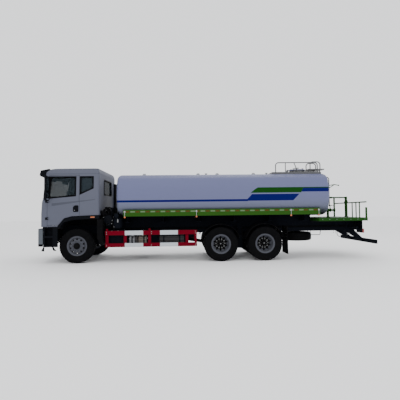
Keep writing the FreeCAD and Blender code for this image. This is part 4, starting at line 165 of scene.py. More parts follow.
class Graph:
    """One material's nodes."""

    def __init__(self, name: str) -> None:
        """Makes an empty material.

        Args:
            name: The material's name.
        """
        self.material = bpy.data.materials.new(name)
        self.material.use_nodes = True
        self.tree = self.material.node_tree
        self.tree.nodes.clear()
        self._place: Optional[Sock] = None

    def node(
        self, kind: str, settings: dict[str, Any], inputs: dict[Union[str, int], Any],
        output: Union[str, int] = 0,
    ) -> Sock:
        """Adds a node.

        Args:
            kind: The node's type.
            settings: Its own settings, set first.
            inputs: Values or links of its sockets.
            output: The output to return.

        Returns:
            The chosen output.
        """
        made = self.tree.nodes.new(kind)
        for key, value in settings.items():
            setattr(made, key, value)
        for key, value in inputs.items():
            if isinstance(value, Sock):
                self.tree.links.new(value.socket, made.inputs[key])
            elif made.inputs[key].type == "RGBA":
                made.inputs[key].default_value = (*value, 1.0)
            else:
                made.inputs[key].default_value = value
        return Sock(self, made.outputs[output])

    def place(self) -> Sock:
        """Returns the surface's place in the truck's frame."""
        if self._place is None:
            self._place = self.node("ShaderNodeTexCoord", {}, {}, "Object")
        return self._place

    def axes(self) -> tuple[Sock, Sock, Sock]:
        """Returns the place's x, y and z."""
        split = self.node("ShaderNodeSeparateXYZ", {}, {0: self.place()}).socket.node
        return tuple(Sock(self, output) for output in split.outputs)

    def sited(self) -> tuple[Sock, Sock, Sock]:
        """Returns the reach ahead of the front axle, the distance off the middle and z."""
        x, y, z = self.axes()
        return x - AXLE_X, y.size(), z

    def noise(self, scale: float, detail: float, where: Optional[Sock] = None) -> Sock:
        """Returns soft noise between 0 and 1.

        Args:
            scale: Features in a metre.
            detail: Octaves.
            where: The coordinates, or the surface's place.

        Returns:
            The noise.
        """
        inputs = {"Vector": where or self.place(), "Scale": scale, "Detail": detail}
        return self.node("ShaderNodeTexNoise", {}, inputs, "Fac")

    def mix(self, factor: Number, first: Any, second: Any) -> Sock:
        """Returns a share of the second colour mixed into the first."""
        inputs = {0: factor, 6: first, 7: second}
        return self.node("ShaderNodeMix", {"data_type": "RGBA"}, inputs, 2)

    def bump(self, height: Sock, distance: float, strength: float) -> Sock:
        """Returns a normal bent by a height.

        Args:
            height: The height from 0 to 1.
            distance: What a height of 1 is in metres.
            strength: How much of it shows.

        Returns:
            The normal.
        """
        inputs = {"Height": height, "Distance": distance, "Strength": strength}
        return self.node("ShaderNodeBump", {}, inputs)

    def grimed(self, colour: Any, amount: float, reach: float = 1.1) -> Sock:
        """Adds road dust that is thickest near the ground.

        Args:
            colour: The clean colour.
            amount: How much dust there is at most.
            reach: The height where it ends.

        Returns:
            The dusty colour.
        """
        patches = self.noise(3.5, 5.0).rise(0.35, 0.75)
        low = self.axes()[2].below(reach * 0.5, reach * 0.5)
        return self.mix(low * (0.35 + 0.65 * patches) * amount, colour, ROAD_DUST)

    def shaded(self, **inputs: Any) -> bpy.types.Material:
        """Ends the material with a Principled shader.

        Args:
            **inputs: The shader's sockets, with underscores for spaces.

        Returns:
            The material.
        """
        named = {key.replace("_", " "): value for key, value in inputs.items()}
        shader = self.node("ShaderNodeBsdfPrincipled", {}, named)
        ending = self.tree.nodes.new("ShaderNodeOutputMaterial")
        self.tree.links.new(shader.socket, ending.inputs["Surface"])
        return self.material


# Finishes


@dataclass(frozen=True)
class Paint:
    """Sprayed paint with a clear coat, fine grain and road dust."""

    name: str
    colour: Colour
    roughness: float = 0.34
    metallic: float = 0.0
    coat: float = 0.5
    dust: float = 0.25
    shade: float = 0.1
    shine: float = 0.5

    def material(self) -> bpy.types.Material:
        """Builds the material."""
        graph = Graph(self.name)
        return self.dressed(graph, self.coloured(graph))

    def coloured(self, graph: Graph) -> Sock:
        """Returns the colour with slow changes of tone over the panels."""
        return graph.mix(graph.noise(0.9, 2.0) * self.shade, self.colour, (0.01, 0.01, 0.011))

    def worn(self, patch: Sock) -> Sock:
        """Returns the roughness with its worn patches."""
        return (self.roughness + patch * 0.14 - 0.05).held()

    def dressed(self, graph: Graph, colour: Sock) -> bpy.types.Material:
        """Ends the paint with dust, gloss and grain.

        Args:
            graph: The material's graph.
            colour: The paint's colour.

        Returns:
            The material.
        """
        patch = graph.noise(2.4, 5.0)
        grain = graph.noise(420.0, 2.0) * 0.3 + graph.noise(7.0, 1.0)
        return graph.shaded(
            Base_Color=graph.grimed(colour, self.dust),
            Roughness=self.worn(patch),
            Metallic=self.metallic,
            Coat_Weight=(self.coat - patch * 0.15).held(),
            Coat_Roughness=0.08,
            IOR=1.1,
            Specular_IOR_Level=self.shine,
            Normal=graph.bump(grain, 0.0006, 0.5),
        )


@dataclass(frozen=True)
class CabPaint(Paint):
    """Silver cab paint, black round the windows and on the inside of the shell, with painted shade
    in the side's crease.
    """

    inside: Colour = (0.03, 0.031, 0.034)
    crease_shade: Colour = (0.03, 0.034, 0.042)
    margin: float = 0.032

    def coloured(self, graph: Graph) -> Sock:
        """Returns the colour with its black surrounds, the painted shade of its crease and its
        inside.
        """
        reach, off, z = graph.sited()
        colour = super().coloured(graph)
        roof = z.between(EAVE_Z, EAVE_Z + 0.008) * 0.6
        # Painted shade in the crease along the side; a thin dark line along the eave takes the same
        # colour.
        colour = graph.mix((self.crease_shade_mask(reach, off, z) * 0.42).most(roof), colour, self.crease_shade)
        lean = z.ramp(SHOULDER_Z, EAVE_Z)
        setback = z.ramp(1.5, 1.85) * 0.022 + z.ramp(1.85, SHOULDER_Z) * 0.053 + lean * 0.065
        front = 1.195 - setback - off * off * 0.1 - reach
        side = SKIN_HALF - lean * SKIN_LEAN - off
        depth = front.least(side).least(reach + 0.68)
        colour = graph.mix(depth.above(0.052) * z.below(2.84), colour, self.inside)
        pocket = front.above(0.03) * off.below(0.86) * z.between(1.17, 1.82) * reach.above(0.8)
        dark = self.surrounds(reach, off, z).most(pocket)
        return graph.mix(dark.held(), colour, PITCH_BLACK)

    def crease_shade_mask(self, reach: Sock, off: Sock, z: Sock) -> Sock:
        """Returns 1 where shade is painted in the crease that runs along the cab's side."""
        upper = 1.81 + (0.74 - reach) * 0.092
        lower = 1.735 + (0.7 - reach) * 0.135
        return z.between(lower, upper, 0.006) * reach.between(-0.56, 0.72, 0.02) * off.above(1.15)

    def surrounds(self, reach: Sock, off: Sock, z: Sock) -> Sock:
        """Returns 1 on the black surrounds of the windows.

        Args:
            reach: The distance ahead of the front axle.
            off: The distance off the truck's middle.
            z: The height.

        Returns:
            The mask.
        """
        edge = self.margin
        (front, sill_z), (back, _), (_, top), _ = DOOR_WINDOW
        sill = sill_z + (front - reach).most(0.0) * 0.085 - edge
        door = reach.above(back - edge) * z.above(sill) * z.below(top + edge)
        screen = reach.above(0.86) * z.between(1.975, 2.665) * off.below(1.13)
        (front, sill_z), (back, _), _, _ = QUARTER_WINDOW
        slope = sill_z + (front - reach) * 0.465 - edge
        quarter = reach.between(back - edge, front + edge) * z.above(slope) * z.below(top + edge)
        (half, low), _, (_, high), _ = REAR_WINDOW
        rear = reach.below(-0.6) * off.below(half + edge) * z.between(low - edge, high + edge)
        return door.most(screen).most(quarter).most(rear)


@dataclass(frozen=True)
class BumperPaint(Paint):
    """Silver bumper face with black corners, a black mouth, a black lower lip and a top painted
    black as shade.
    """

    black: Colour = (0.0036, 0.004, 0.0056)

    def coloured(self, graph: Graph) -> Sock:
        """Returns the colour with its black parts and the painted shade on its top."""
        reach, off, z = graph.sited()
        mouth = off.below(0.52) * z.between(0.7, 0.98)
        bars = (z * 18.0).cycle(1.0).between(0.3, 0.7, 0.05) * mouth
        lamp = off.between(0.6, 1.1) * z.between(0.765, 0.975)
        # z above 1.044 paints the bumper's top black as shade under the cab's lower edge.
        dark = reach.below(0.955).most(mouth).most(z.below(0.6)).most(lamp).most(z.above(1.044))
        colour = graph.mix(dark.held(), super().coloured(graph), self.black)
        return graph.mix(bars * 0.5, colour, (0.03, 0.03, 0.032))


@dataclass(frozen=True)
class TankPaint(Paint):
    """White tank paint with the blue and green side stripes and painted shading on its lower curve.
    """

    blue: Colour = (0.004, 0.005, 0.085)
    green: Colour = (0.006, 0.044, 0.005)
    deep_green: Colour = (0.006, 0.035, 0.01)
    lower: Colour = (0.138, 0.152, 0.172)
    stripe_z: tuple[float, ...] = (1.818, 1.88, 1.83, 2.03, 2.07, 2.235)

    def coloured(self, graph: Graph) -> Sock:
        """Returns the colour with its stripes and the painted shading low on the tank."""
        reach, off, z = graph.sited()
        side = off.above(0.55, 0.01) * reach.above(-7.78)
        line_low, line_high, band_low, band_high, low, high = self.stripe_z
        line = z.between(line_low, line_high) * reach.between(-5.2, -1.1)
        slanted = reach + (z - band_low) * 0.95
        band = z.between(band_low, band_high) * slanted.below(-5.13) * slanted.above(-6.6)
        rise = z - low
        upper = z.between(low, high) * (reach + rise * 1.05 + rise * rise * 1.8).below(-5.28)
        turn = (reach + rise * 0.55).below(-6.84)
        second_blue = upper * turn * z.between(2.095, 2.205)
        # Painted shading: below z 1.95 the blue-white turns grey as the side curves under, away
        # from the light.
        colour = graph.mix((1.95 - z).ramp(0.0, 0.45) * 0.75, super().coloured(graph), self.lower)
        colour = graph.mix(line.most(band).most(second_blue) * side, colour, self.blue)
        colour = graph.mix(upper * (1.0 - turn) * side, colour, self.green)
        return graph.mix(upper * turn * z.above(2.205) * side, colour, self.deep_green)


@dataclass(frozen=True)
class BandPaint(Paint):
    """Green band paint with a row of red and white reflective tape."""

    white: Colour = (0.105, 0.16, 0.085)
    red: Colour = (0.08, 0.04, 0.012)
    tape_z: float = 1.532
    tape_half: float = 0.022
    period: float = 0.305

    def coloured(self, graph: Graph) -> Sock:
        """Returns the colour with its tape."""
        x, y, z = graph.axes()
        row = z.between(self.tape_z - self.tape_half, self.tape_z + self.tape_half)
        row = row * y.size().above(1.1)
        step = (x + 10.0).cycle(self.period)
        colour = graph.mix(step.between(0.01, 0.15) * row, super().coloured(graph), self.white)
        return graph.mix(step.between(0.185, 0.295) * row, colour, self.red)


@dataclass(frozen=True)
class GuardPaint(Paint):
    """Red and white blocks along the side guard, black on its inner side."""

    white: Colour = (0.46, 0.49, 0.52)
    edges: tuple[float, ...] = (-1.44, -1.99, -2.5, -3.04)

    def coloured(self, graph: Graph) -> Sock:
        """Returns the colour with its blocks."""
        reach, off, z = graph.sited()
        first, second, third, fourth = self.edges
        blocks = reach.between(second, first) + reach.between(fourth, third)
        rail = z.below(0.592) + z.above(0.82)
        outer = off.above(1.1)
        white = (blocks * rail).held() * outer
        colour = graph.mix(white, super().coloured(graph), self.white)
        return graph.mix(1.0 - outer, colour, PITCH_BLACK)


@dataclass(frozen=True)
class TreadPaint(Paint):
    """Paint over chequer plate on the level treads."""

    levels: tuple[Pair, ...] = ((2.795, 2.806), (2.895, 2.906))

    def dressed(self, graph: Graph, colour: Sock) -> bpy.types.Material:
        """Ends the paint with the plate's raised lozenges.

        Args:
            graph: The material's graph.
            colour: The paint's colour.

        Returns:
            The material.
        """
        x, y, z = graph.axes()
        first, second = ((way * 26.0).cycle(1.0) for way in (x + y, x - y))
        low, high = (0.15, 0.45, 0.08), (0.55, 0.95, 0.08)
        lozenge = first.between(*low) * second.between(*high)
        lozenge = lozenge.most(first.between(*high) * second.between(*low))
        level = z.between(*self.levels[0])
        for span in self.levels[1:]:
            level = level.most(z.between(*span))
        height = lozenge * level
        return graph.shaded(
            Base_Color=graph.grimed(graph.mix(height * 0.3, colour, (0.14,) * 3), self.dust),
            Roughness=self.worn(graph.noise(2.4, 5.0)),
            Metallic=self.metallic,
            Specular_IOR_Level=self.shine,
            Normal=graph.bump(height, 0.002, 0.9),
        )


@dataclass(frozen=True)
class DeckPaint(TreadPaint):
    """Green platform paint with a chequered deck and a black skirt below it."""

    levels: tuple[Pair, ...] = ((1.268, 1.276),)
    skirt: Colour = (0.0045, 0.0052, 0.0075)

    def coloured(self, graph: Graph) -> Sock:
        """Returns the colour with its black lower part."""
        x, _, z = graph.axes()
        return graph.mix(z.below(1.172) * x.below(-3.4), super().coloured(graph), self.skirt)


@dataclass(frozen=True)
class Rubber:
    """Matt rubber, moulded with a fine grain and dusty in its hollows."""

    name: str
    colour: Colour
    roughness: float
    dust: float

    def material(self) -> bpy.types.Material:
        """Builds the material."""
        graph = Graph(self.name)
        worn = graph.noise(9.0, 4.0).rise(0.4, 0.7)
        tone = graph.mix(worn * 0.15, self.colour, (0.014, 0.013, 0.013))
        return graph.shaded(
            Base_Color=graph.grimed(tone, self.dust, 0.9),
            Roughness=(self.roughness + worn * 0.12).held(),
            Specular_IOR_Level=0.06,
            Normal=graph.bump(graph.noise(160.0, 4.0), 0.0012, 0.6),
        )


@dataclass(frozen=True)
class Cast:
    """Dark oily cast or forged metal."""

    name: str
    colour: Colour
    roughness: float
    metallic: float

    def material(self) -> bpy.types.Material:
        """Builds the material."""
        graph = Graph(self.name)
        lumps = graph.noise(55.0, 5.0)
        oil = graph.noise(3.0, 4.0).rise(0.45, 0.7)
        tone = graph.mix(lumps.rise(0.55, 0.75) * 0.2, self.colour, (0.022, 0.016, 0.013))
        return graph.shaded(
            Base_Color=graph.grimed(tone, 0.01, 1.3),
            Roughness=(self.roughness - oil * 0.2).held(),
            Metallic=self.metallic,
            Specular_IOR_Level=0.05,
            Normal=graph.bump(lumps, 0.002, 0.7),
        )


@dataclass(frozen=True)
class Moulded:
    """Moulded plastic with a leather-like grain."""

    name: str
    colour: Colour
    roughness: float
    dust: float

    def material(self) -> bpy.types.Material:
        """Builds the material."""
        graph = Graph(self.name)
        inputs = {"Vector": graph.place(), "Scale": 520.0}
        cells = graph.node("ShaderNodeTexVoronoi", {"feature": "SMOOTH_F1"}, inputs, "Distance")
        faded = graph.noise(1.7, 4.0).rise(0.4, 0.8)
        tone = graph.mix(faded * 0.06, self.colour, (0.02, 0.02, 0.021))
        return graph.shaded(
            Base_Color=graph.grimed(tone, self.dust),
            Roughness=(self.roughness + faded * 0.1).held(),
            Specular_IOR_Level=0.03,
            Normal=graph.bump(cells, 0.0002, 0.25),
        )


@dataclass(frozen=True)
class Vessels:
    """The grey and beige air tanks with painted shade at the gap between them, and the black
    silencer behind them.
    """

    name: str
    grey: Colour = (0.165, 0.168, 0.18)
    beige: Colour = (0.105, 0.086, 0.07)
    soot_and_gap_shade: Colour = (0.007, 0.007, 0.009)

    def material(self) -> bpy.types.Material:
        """Builds the material."""
        graph = Graph(self.name)
        reach = graph.sited()[0]
        stain = graph.noise(6.0, 5.0).rise(0.4, 0.75)
        colour = graph.mix(reach.below(-1.73), self.grey, self.beige)
        # Black silencer behind reach -2.2, and a black band painted as shade in the gap between the
        # two tanks.
        black = reach.below(-2.2).most(reach.between(-1.77, -1.7))
        colour = graph.mix(black, colour, self.soot_and_gap_shade)
        colour = graph.mix(stain * 0.12, colour, (0.05, 0.042, 0.036))
        return graph.shaded(
            Base_Color=graph.grimed(colour, 0.1),
            Roughness=(0.38 + stain * 0.2).held(),
            Metallic=0.3,
            Normal=graph.bump(graph.noise(30.0, 4.0), 0.001, 0.5),
        )


@dataclass(frozen=True)
class BareMetal:
    """Bare or plated metal with brushed streaks."""

    name: str
    colour: Colour
    roughness: float
    metallic: float
    streaks: Point = (4.0, 4.0, 160.0)
    dust: float = 0.25

    def material(self) -> bpy.types.Material:
        """Builds the material."""
        graph = Graph(self.name)
        inputs = {0: graph.place(), 1: self.streaks}
        where = graph.node("ShaderNodeVectorMath", {"operation": "MULTIPLY"}, inputs)
        streak = graph.noise(1.0, 3.0, where)
        stain = graph.noise(5.0, 5.0).rise(0.5, 0.8)
        tone = graph.mix(stain * 0.35, self.colour, (0.13, 0.12, 0.11))
        return graph.shaded(
            Base_Color=graph.grimed(tone, self.dust),
            Roughness=(self.roughness + streak * 0.15 + stain * 0.15).held(),
            Metallic=self.metallic,
            Normal=graph.bump(streak, 0.0004, 0.4),
        )


@dataclass(frozen=True)
class Glazing:
    """Tinted safety glass with a faint film of dust; behind the door it is more opaque, its dark
    tint painted shade.
    """

    name: str
    colour: Colour = (0.022, 0.03, 0.036)
    alpha: float = 0.54
    roughness: float = 0.08

    def material(self) -> bpy.types.Material:
        """Builds the material."""
        graph = Graph(self.name)
        film = graph.noise(6.0, 4.0).rise(0.45, 0.85)
        # Painted shade: the quarter and rear windows show more of the glass's dark tint than what
        # lies beyond.
        behind = graph.sited()[0].below(-0.08, 0.02)
        return graph.shaded(
            Base_Color=graph.mix(film * 0.05, self.colour, (0.1, 0.1, 0.1)),
            Roughness=(self.roughness + film * 0.06).held(),
            Alpha=(self.alpha + film * 0.03 + behind * 0.36).held(),
            IOR=1.04,
        )


@dataclass(frozen=True)
class Lens:
    """A moulded lens with flutes and a soft glow; on the lamps it comes from what lies behind, on
    the reflectors it is painted light.
    """

    name: str
    colour: Colour
    glow: float = 0.0
    alpha: float = 1.0

    def material(self) -> bpy.types.Material:
        """Builds the material."""
        graph = Graph(self.name)
        _, y, z = graph.axes()
        flutes = ((y + z) * 60.0).cycle(1.0).size().rise(0.0, 1.0)
        tone = graph.mix(graph.noise(30.0, 2.0) * 0.3, self.colour, LENS_SHADE)
        return graph.shaded(
            Base_Color=tone,
            Roughness=0.16,
            Alpha=self.alpha,
            Coat_Weight=0.8,
            Emission_Color=tone,
            Emission_Strength=self.glow,
            Normal=graph.bump(flutes, 0.0008, 0.4),
        )


@dataclass(frozen=True)
class LampSet(Lens):
    """Amber side lenses and a rear cluster of red, amber and clear lenses."""

    red: Colour = (0.4, 0.01, 0.008)
    amber: Colour = (0.6, 0.12, 0.01)
    clear: Colour = (0.55, 0.55, 0.53)
    parts: Pair = (0.69, 0.77)

    def material(self) -> bpy.types.Material:
        """Builds the material."""
        graph = Graph(self.name)
        x, y, z = graph.axes()
        rear = x.below(-4.6)
        inner, outer = self.parts
        tone = graph.mix(rear, self.colour, self.red)
        tone = graph.mix(rear * y.size().between(inner, outer), tone, self.amber)
        tone = graph.mix(rear * y.size().below(inner), tone, self.clear)
        cells = (y * 90.0).cycle(1.0).rise(0.0, 1.0) + (z * 90.0).cycle(1.0).rise(0.0, 1.0)
        return graph.shaded(
            Base_Color=graph.mix(graph.noise(30.0, 2.0) * 0.3, tone, LENS_SHADE),
            Roughness=0.18,
            Coat_Weight=0.8,
            Emission_Color=tone,
            Emission_Strength=self.glow,
            Normal=graph.bump(cells, 0.0008, 0.4),
        )


@dataclass(frozen=True)
class Cloth:
    """Woven seat cloth."""

    name: str
    colour: Colour = (0.035, 0.035, 0.04)

    def material(self) -> bpy.types.Material:
        """Builds the material."""
        graph = Graph(self.name)
        x, y, z = graph.axes()
        warp, weft = ((((way + z) * 260.0).cycle(1.0) - 0.5).size() for way in (x, y))
        weave = warp + weft
        worn = graph.noise(8.0, 4.0)
        tone = graph.mix(weave * 0.35, self.colour, (0.1, 0.1, 0.115))
        return graph.shaded(
            Base_Color=graph.mix(worn * 0.2, tone, (0.13, 0.12, 0.11)),
            Roughness=(0.82 + worn * 0.1).held(),
            Normal=graph.bump(weave, 0.001, 0.6),
        )


class Finish(Enum):
    """Every finish on the truck."""

    CAB = CabPaint("cab_silver", (0.097, 0.103, 0.134), 0.4, 0.0, 0.0, 0.02, 0.06, 0.5)
    BUMPER = BumperPaint("bumper_silver", (0.09, 0.1, 0.115), 0.55, 0.0, 0.0, 0.01, 0.08, 0.03)
    TANK = TankPaint("tank_white", (0.128, 0.138, 0.24), 0.4, 0.0, 0.0, 0.0, 0.05, 0.4)
    GREEN = DeckPaint("platform_green", (0.009, 0.05, 0.005), 0.5, 0.0, 0.0, 0.01, 0.08, 0.06)
    BAND = BandPaint("band_green", (0.022, 0.072, 0.01), 0.45, 0.0, 0.0, 0.0, 0.08, 0.1)
    GUARD = GuardPaint("guard_red", (0.12, 0.003, 0.01), 0.5, 0.0, 0.0, 0.01, 0.08, 0.05)
    BLACK = Paint("satin_black", (0.0052, 0.0062, 0.0092), 0.55, 0.0, 0.0, 0.008, 0.03, 0.12)
    PALE = TreadPaint("rail_grey", (0.075, 0.076, 0.08), 0.42, 0.1, 0.1, 0.0)
    WHEEL = Paint("wheel_silver", (0.066, 0.069, 0.082), 0.45, 0.0, 0.0, 0.03, 0.1, 0.2)
    CAST = Cast("cast_metal", (0.0028, 0.0028, 0.0034), 0.65, 0.0)
    TYRE = Rubber("tyre_rubber", (0.0018, 0.0019, 0.0024), 0.8, 0.01)
    RUBBER = Rubber("sheet_rubber", (0.0018, 0.0018, 0.0024), 0.75, 0.005)
    TRIM = Moulded("black_plastic", (0.004, 0.0046, 0.0066), 0.6, 0.006)
    INSIDE = Moulded("inside_grey", (0.045, 0.046, 0.05), 0.6, 0.0)
    METAL = BareMetal("galvanised", (0.2, 0.205, 0.21), 0.36, 0.6)
    VESSEL = Vessels("side_vessels")
    BRIGHT = BareMetal("bright_metal", (0.24, 0.245, 0.25), 0.3, 0.7)
    MIRROR = BareMetal("mirror_glass", (0.75, 0.77, 0.78), 0.03, 1.0, (1.0, 1.0, 1.0), 0.0)
    GLASS = Glazing("cab_glazing")
    CLEAR = Lens("clear_lens", (0.6, 0.62, 0.63), 0.0, 0.55)
    AMBER = Lens("amber_lens", (0.42, 0.095, 0.012), 0.02)
    LAMPS = LampSet("lamp_lenses", (0.5, 0.11, 0.012), 0.04)
    # The rear reflectors wear this; their glow is painted light, as no lamp lies behind them.
    RED = Lens("reflector_red_painted_glow", (0.42, 0.012, 0.01), 0.1)
    WHITE = Paint("plate_white", (0.36, 0.37, 0.38), 0.45, 0.0, 0.1, 0.02, 0.08, 0.3)
    SEAT = Cloth("woven_cloth")

    def made(self) -> bpy.types.Material:
        """Returns this finish's material, made once."""
        found = bpy.data.materials.get(self.value.name)
        return found or self.value.material()


# Mesh building


class Form:
    """A mesh under construction, in metres in the truck's frame."""

    def __init__(self) -> None:
        """Starts with nothing."""
        self.mesh = bmesh.new()

    def face(self, corners: Sequence[bmesh.types.BMVert]) -> None:
        """Adds a face unless its corners already have one."""
        if len(set(corners)) > 2:
            try:
                self.mesh.faces.new(corners)
            except ValueError:
                return

    def ring_of(self, points: Iterable[Vector]) -> list[bmesh.types.BMVert]:
        """Adds a ring of vertices."""
        return [self.mesh.verts.new(point) for point in points]

    def softened(self, verts: Iterable[bmesh.types.BMVert], bevel: float) -> "Form":
        """Bevels every edge at the given vertices."""
        if bevel > 0.0:
            edges = list(dict.fromkeys(edge for vert in verts for edge in vert.link_edges))
            bmesh.ops.bevel(self.mesh, geom=edges, offset=bevel, segments=2, affect="EDGES")
        return self

    def skinned(self, rings: Sequence[Sequence[bmesh.types.BMVert]], ends: int = 2) -> "Form":
        """Joins rings of the same count with faces.

        Args:
            rings: The rings in order.
            ends: 2 closes both end rings, 1 the last one only and 0 none.

        Returns:
            The form.
        """
        for first, second in zip(rings, rings[1:]):
            around = list(zip(first, second))
            for (low, high), (low_next, high_next) in zip(around, around[1:] + around[:1]):
                self.face((low, low_next, high_next, high))
        if ends > 1:
            self.face(list(reversed(rings[0])))
        if ends > 0:
            self.face(rings[-1])
        return self

    def block(self, low: Point, high: Point, bevel: float = 0.0, turn: Matrix = Matrix()) -> "Form":
        """Adds a block with softened edges.

        Args:
            low: One corner.
            high: The opposite corner.
            bevel: The width of the softened edges.
            turn: A matrix that moves it afterwards.

        Returns:
            The form.
        """
        centre = [(a + b) / 2 for a, b in zip(low, high)]
        scale = [abs(b - a) for a, b in zip(low, high)]
        base = Matrix.Translation(centre) @ Matrix.Diagonal((*scale, 1.0))
        made = bmesh.ops.create_cube(self.mesh, size=1.0, matrix=turn @ base)
        return self.softened(made["verts"], bevel)

    def tube(
        self, path: Sequence[Point], radius: float, sides: int = 8, bend: float = 0.0,
        rib: float = 0.0, pitch: float = 0.03,
    ) -> "Form":
        """Adds a round bar along a path, with its corners bent.

        Args:
            path: The path's points.
            radius: The bar's radius.
            sides: How many sides it has.
            bend: The length by which each corner is rounded.
            rib: The depth of a bellows' grooves, or 0 for a plain bar.
            pitch: The length of one groove.

        Returns:
            The form.
        """
        points = bent(path, bend)
        if rib > 0.0:
            points = spaced(points, pitch / 2)
        tangents = [
            (after - before).normalized()
            for before, after in zip(points[:1] + points, points[1:] + points[-1:])
        ]
        across = tangents[0].orthogonal().normalized()
        rings = []
        for step, (point, tangent) in enumerate(zip(points, tangents)):
            across = (across - tangent * across.dot(tangent)).normalized()
            other = tangent.cross(across)
            reach = radius - rib * (step % 2)
            turns = (index * math.tau / sides for index in range(sides))
            rings.append(self.ring_of(
                point + (across * math.cos(turn) + other * math.sin(turn)) * reach for turn in turns
            ))
        return self.skinned(rings)

    def loop(
        self, corners: Sequence[Point], radius: float, sides: int = 8, bend: float = 0.05,
    ) -> "Form":
        """Adds a round bar along a closed path, with its corners bent."""
        points = [Vector(corner) for corner in corners]
        middle = points[0].lerp(points[1], 0.5)
        return self.tube([middle, *points[1:], points[0], middle], radius, sides, bend)

    def lathe(
        self, profile: Sequence[Pair], centre: Point, axis: str, sides: int,
        closed: bool = False, sign: float = 1.0,
    ) -> "Form":
        """Adds a turned shape.

        Args:
            profile: Distances along the axis with their radii.
            centre: The axis's start.
            axis: x, y or z.
            sides: How many steps go round.
            closed: Whether the profile is a loop.
            sign: 1 or -1 for the way in which the distances count.

        Returns:
            The form.
        """
        rings = [self.ring_of(circle(centre, axis, r, sides, 0.0, sign * d)) for d, r in profile]
        return self.skinned(rings + rings[:1], 0) if closed else self.skinned(rings)

    def hoop(
        self, span: Pair, radii: Pair, centre: Point, axis: str, sides: int, sign: float = 1.0,
    ) -> "Form":
        """Adds a flat ring between two distances along its axis and two radii."""
        (low, high), (inner, outer) = span, radii
        profile = [(low, outer), (high, outer), (high, inner), (low, inner)]
        return self.lathe(profile, centre, axis, sides, True, sign)

    def bolt(self, place: Point, axis: str, size: float, out: float = 1.0) -> "Form":
        """Adds a hexagon bolt head with its washer.

        Args:
            place: The middle of its seat.
            axis: The axis that it points along.
            size: Its radius.
            out: 1 or -1 for the way it faces.

        Returns:
            The form.
        """
        washer = [(-0.002, size * 1.25), (size * 0.22, size * 1.25)]
        head = [(0.0, size), (size * 0.85, size), (size * 1.0, size * 0.82)]
        self.lathe(washer, place, axis, 12, False, out)
        return self.lathe(head, place, axis, 6, False, out)

    def plate(self, outline: Sequence[Point], push: Point, bevel: float = 0.003) -> "Form":
        """Adds a flat outline pushed out into a plate with softened edges."""
        corners = [Vector(corner) for corner in outline]
        rings = [self.ring_of(corners), self.ring_of(corner + Vector(push) for corner in corners)]
        return self.skinned(rings).softened(rings[0] + rings[1], bevel)

    def made(
        self, name: str, finish: Finish, slot: str, body: str = "chassis", angle: float = 35.0,
    ) -> bpy.types.Object:
        """Ends the form as an object that rides on a body.

        Args:
            name: The object's name.
            finish: Its finish.
            slot: The record's material slot; not used.
            body: The body that it rides on.
            angle: Edges sharper than this stay sharp, in degrees.

        Returns:
            The object.
        """
        data = self.ended(name)
        smoothed(data, angle)
        data.materials.append(finish.made())
        made = placed(name, data)
        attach(made, body)
        LOG.info("%s: %d faces on %s", name, len(data.polygons), body)
        return made

    def ended(self, name: str) -> bpy.types.Mesh:
        """Returns the finished mesh with its faces turned outwards."""
        bmesh.ops.recalc_face_normals(self.mesh, faces=self.mesh.faces)
        data = bpy.data.meshes.new(name)
        self.mesh.to_mesh(data)
        self.mesh.free()
        return data


def placed(name: str, data: Optional[bpy.types.ID]) -> bpy.types.Object:
    """Returns a new object in the scene."""
    made = bpy.data.objects.new(name, data)
    bpy.context.scene.collection.objects.link(made)
    return made


def smoothed(data: bpy.types.Mesh, angle: float) -> None:
    """Shades a mesh smooth with sharp edges above an angle in degrees."""
    data.polygons.foreach_set("use_smooth", [True] * len(data.polygons))
    data.set_sharp_from_angle(angle=math.radians(angle))


def turned_point(axis: str, distance: float, radius: float, turn: float) -> Vector:
    """Returns a point at a distance along an axis and a radius round it."""
    point = [radius * math.cos(turn), radius * math.sin(turn)]
    point.insert("xyz".index(axis), distance)
    return Vector(point)


def circle(
    centre: Sequence[float], axis: str, radius: float, count: int, shift: float = 0.0,
    out: float = 0.0,
) -> list[Vector]:
    """Returns points evenly round an axis.

    Args:
        centre: The axis's start.
        axis: x, y or z.
        radius: The points' distance from the axis.
        count: How many points there are.
        shift: The first point's turn, in steps.
        out: The points' distance along the axis.

    Returns:
        The points.
    """
    turns = ((index + shift) * math.tau / count for index in range(count))
    return [Vector(centre) + turned_point(axis, out, radius, turn) for turn in turns]


def spaced(points: Sequence[Vector], pitch: float) -> list[Vector]:
    """Returns points at an even pitch along a path."""
    result = [points[0]]
    for first, second in zip(points, points[1:]):
        steps = max(1, round((second - first).length / pitch))
        result += [first.lerp(second, (step + 1) / steps) for step in range(steps)]
    return result


def bent(path: Sequence[Point], bend: float, steps: int = 5) -> list[Vector]:
    """Rounds a path's corners.

    Args:
        path: The path's points.
        bend: The length taken from each run at a corner.
        steps: Points along each corner.

    Returns:
        The rounded path.
    """
    points = [Vector(point) for point in path]
    if bend <= 0.0:
        return points
    result = [points[0]]
    for before, corner, after in zip(points, points[1:], points[2:]):
        reach = min(bend, (corner - before).length * 0.48, (after - corner).length * 0.48)
        start = corner + (before - corner).normalized() * reach
        end = corner + (after - corner).normalized() * reach
        for share in (index / steps for index in range(steps + 1)):
            result.append(start.lerp(corner, share).lerp(corner.lerp(end, share), share))
    return result + [points[-1]]


# Studio


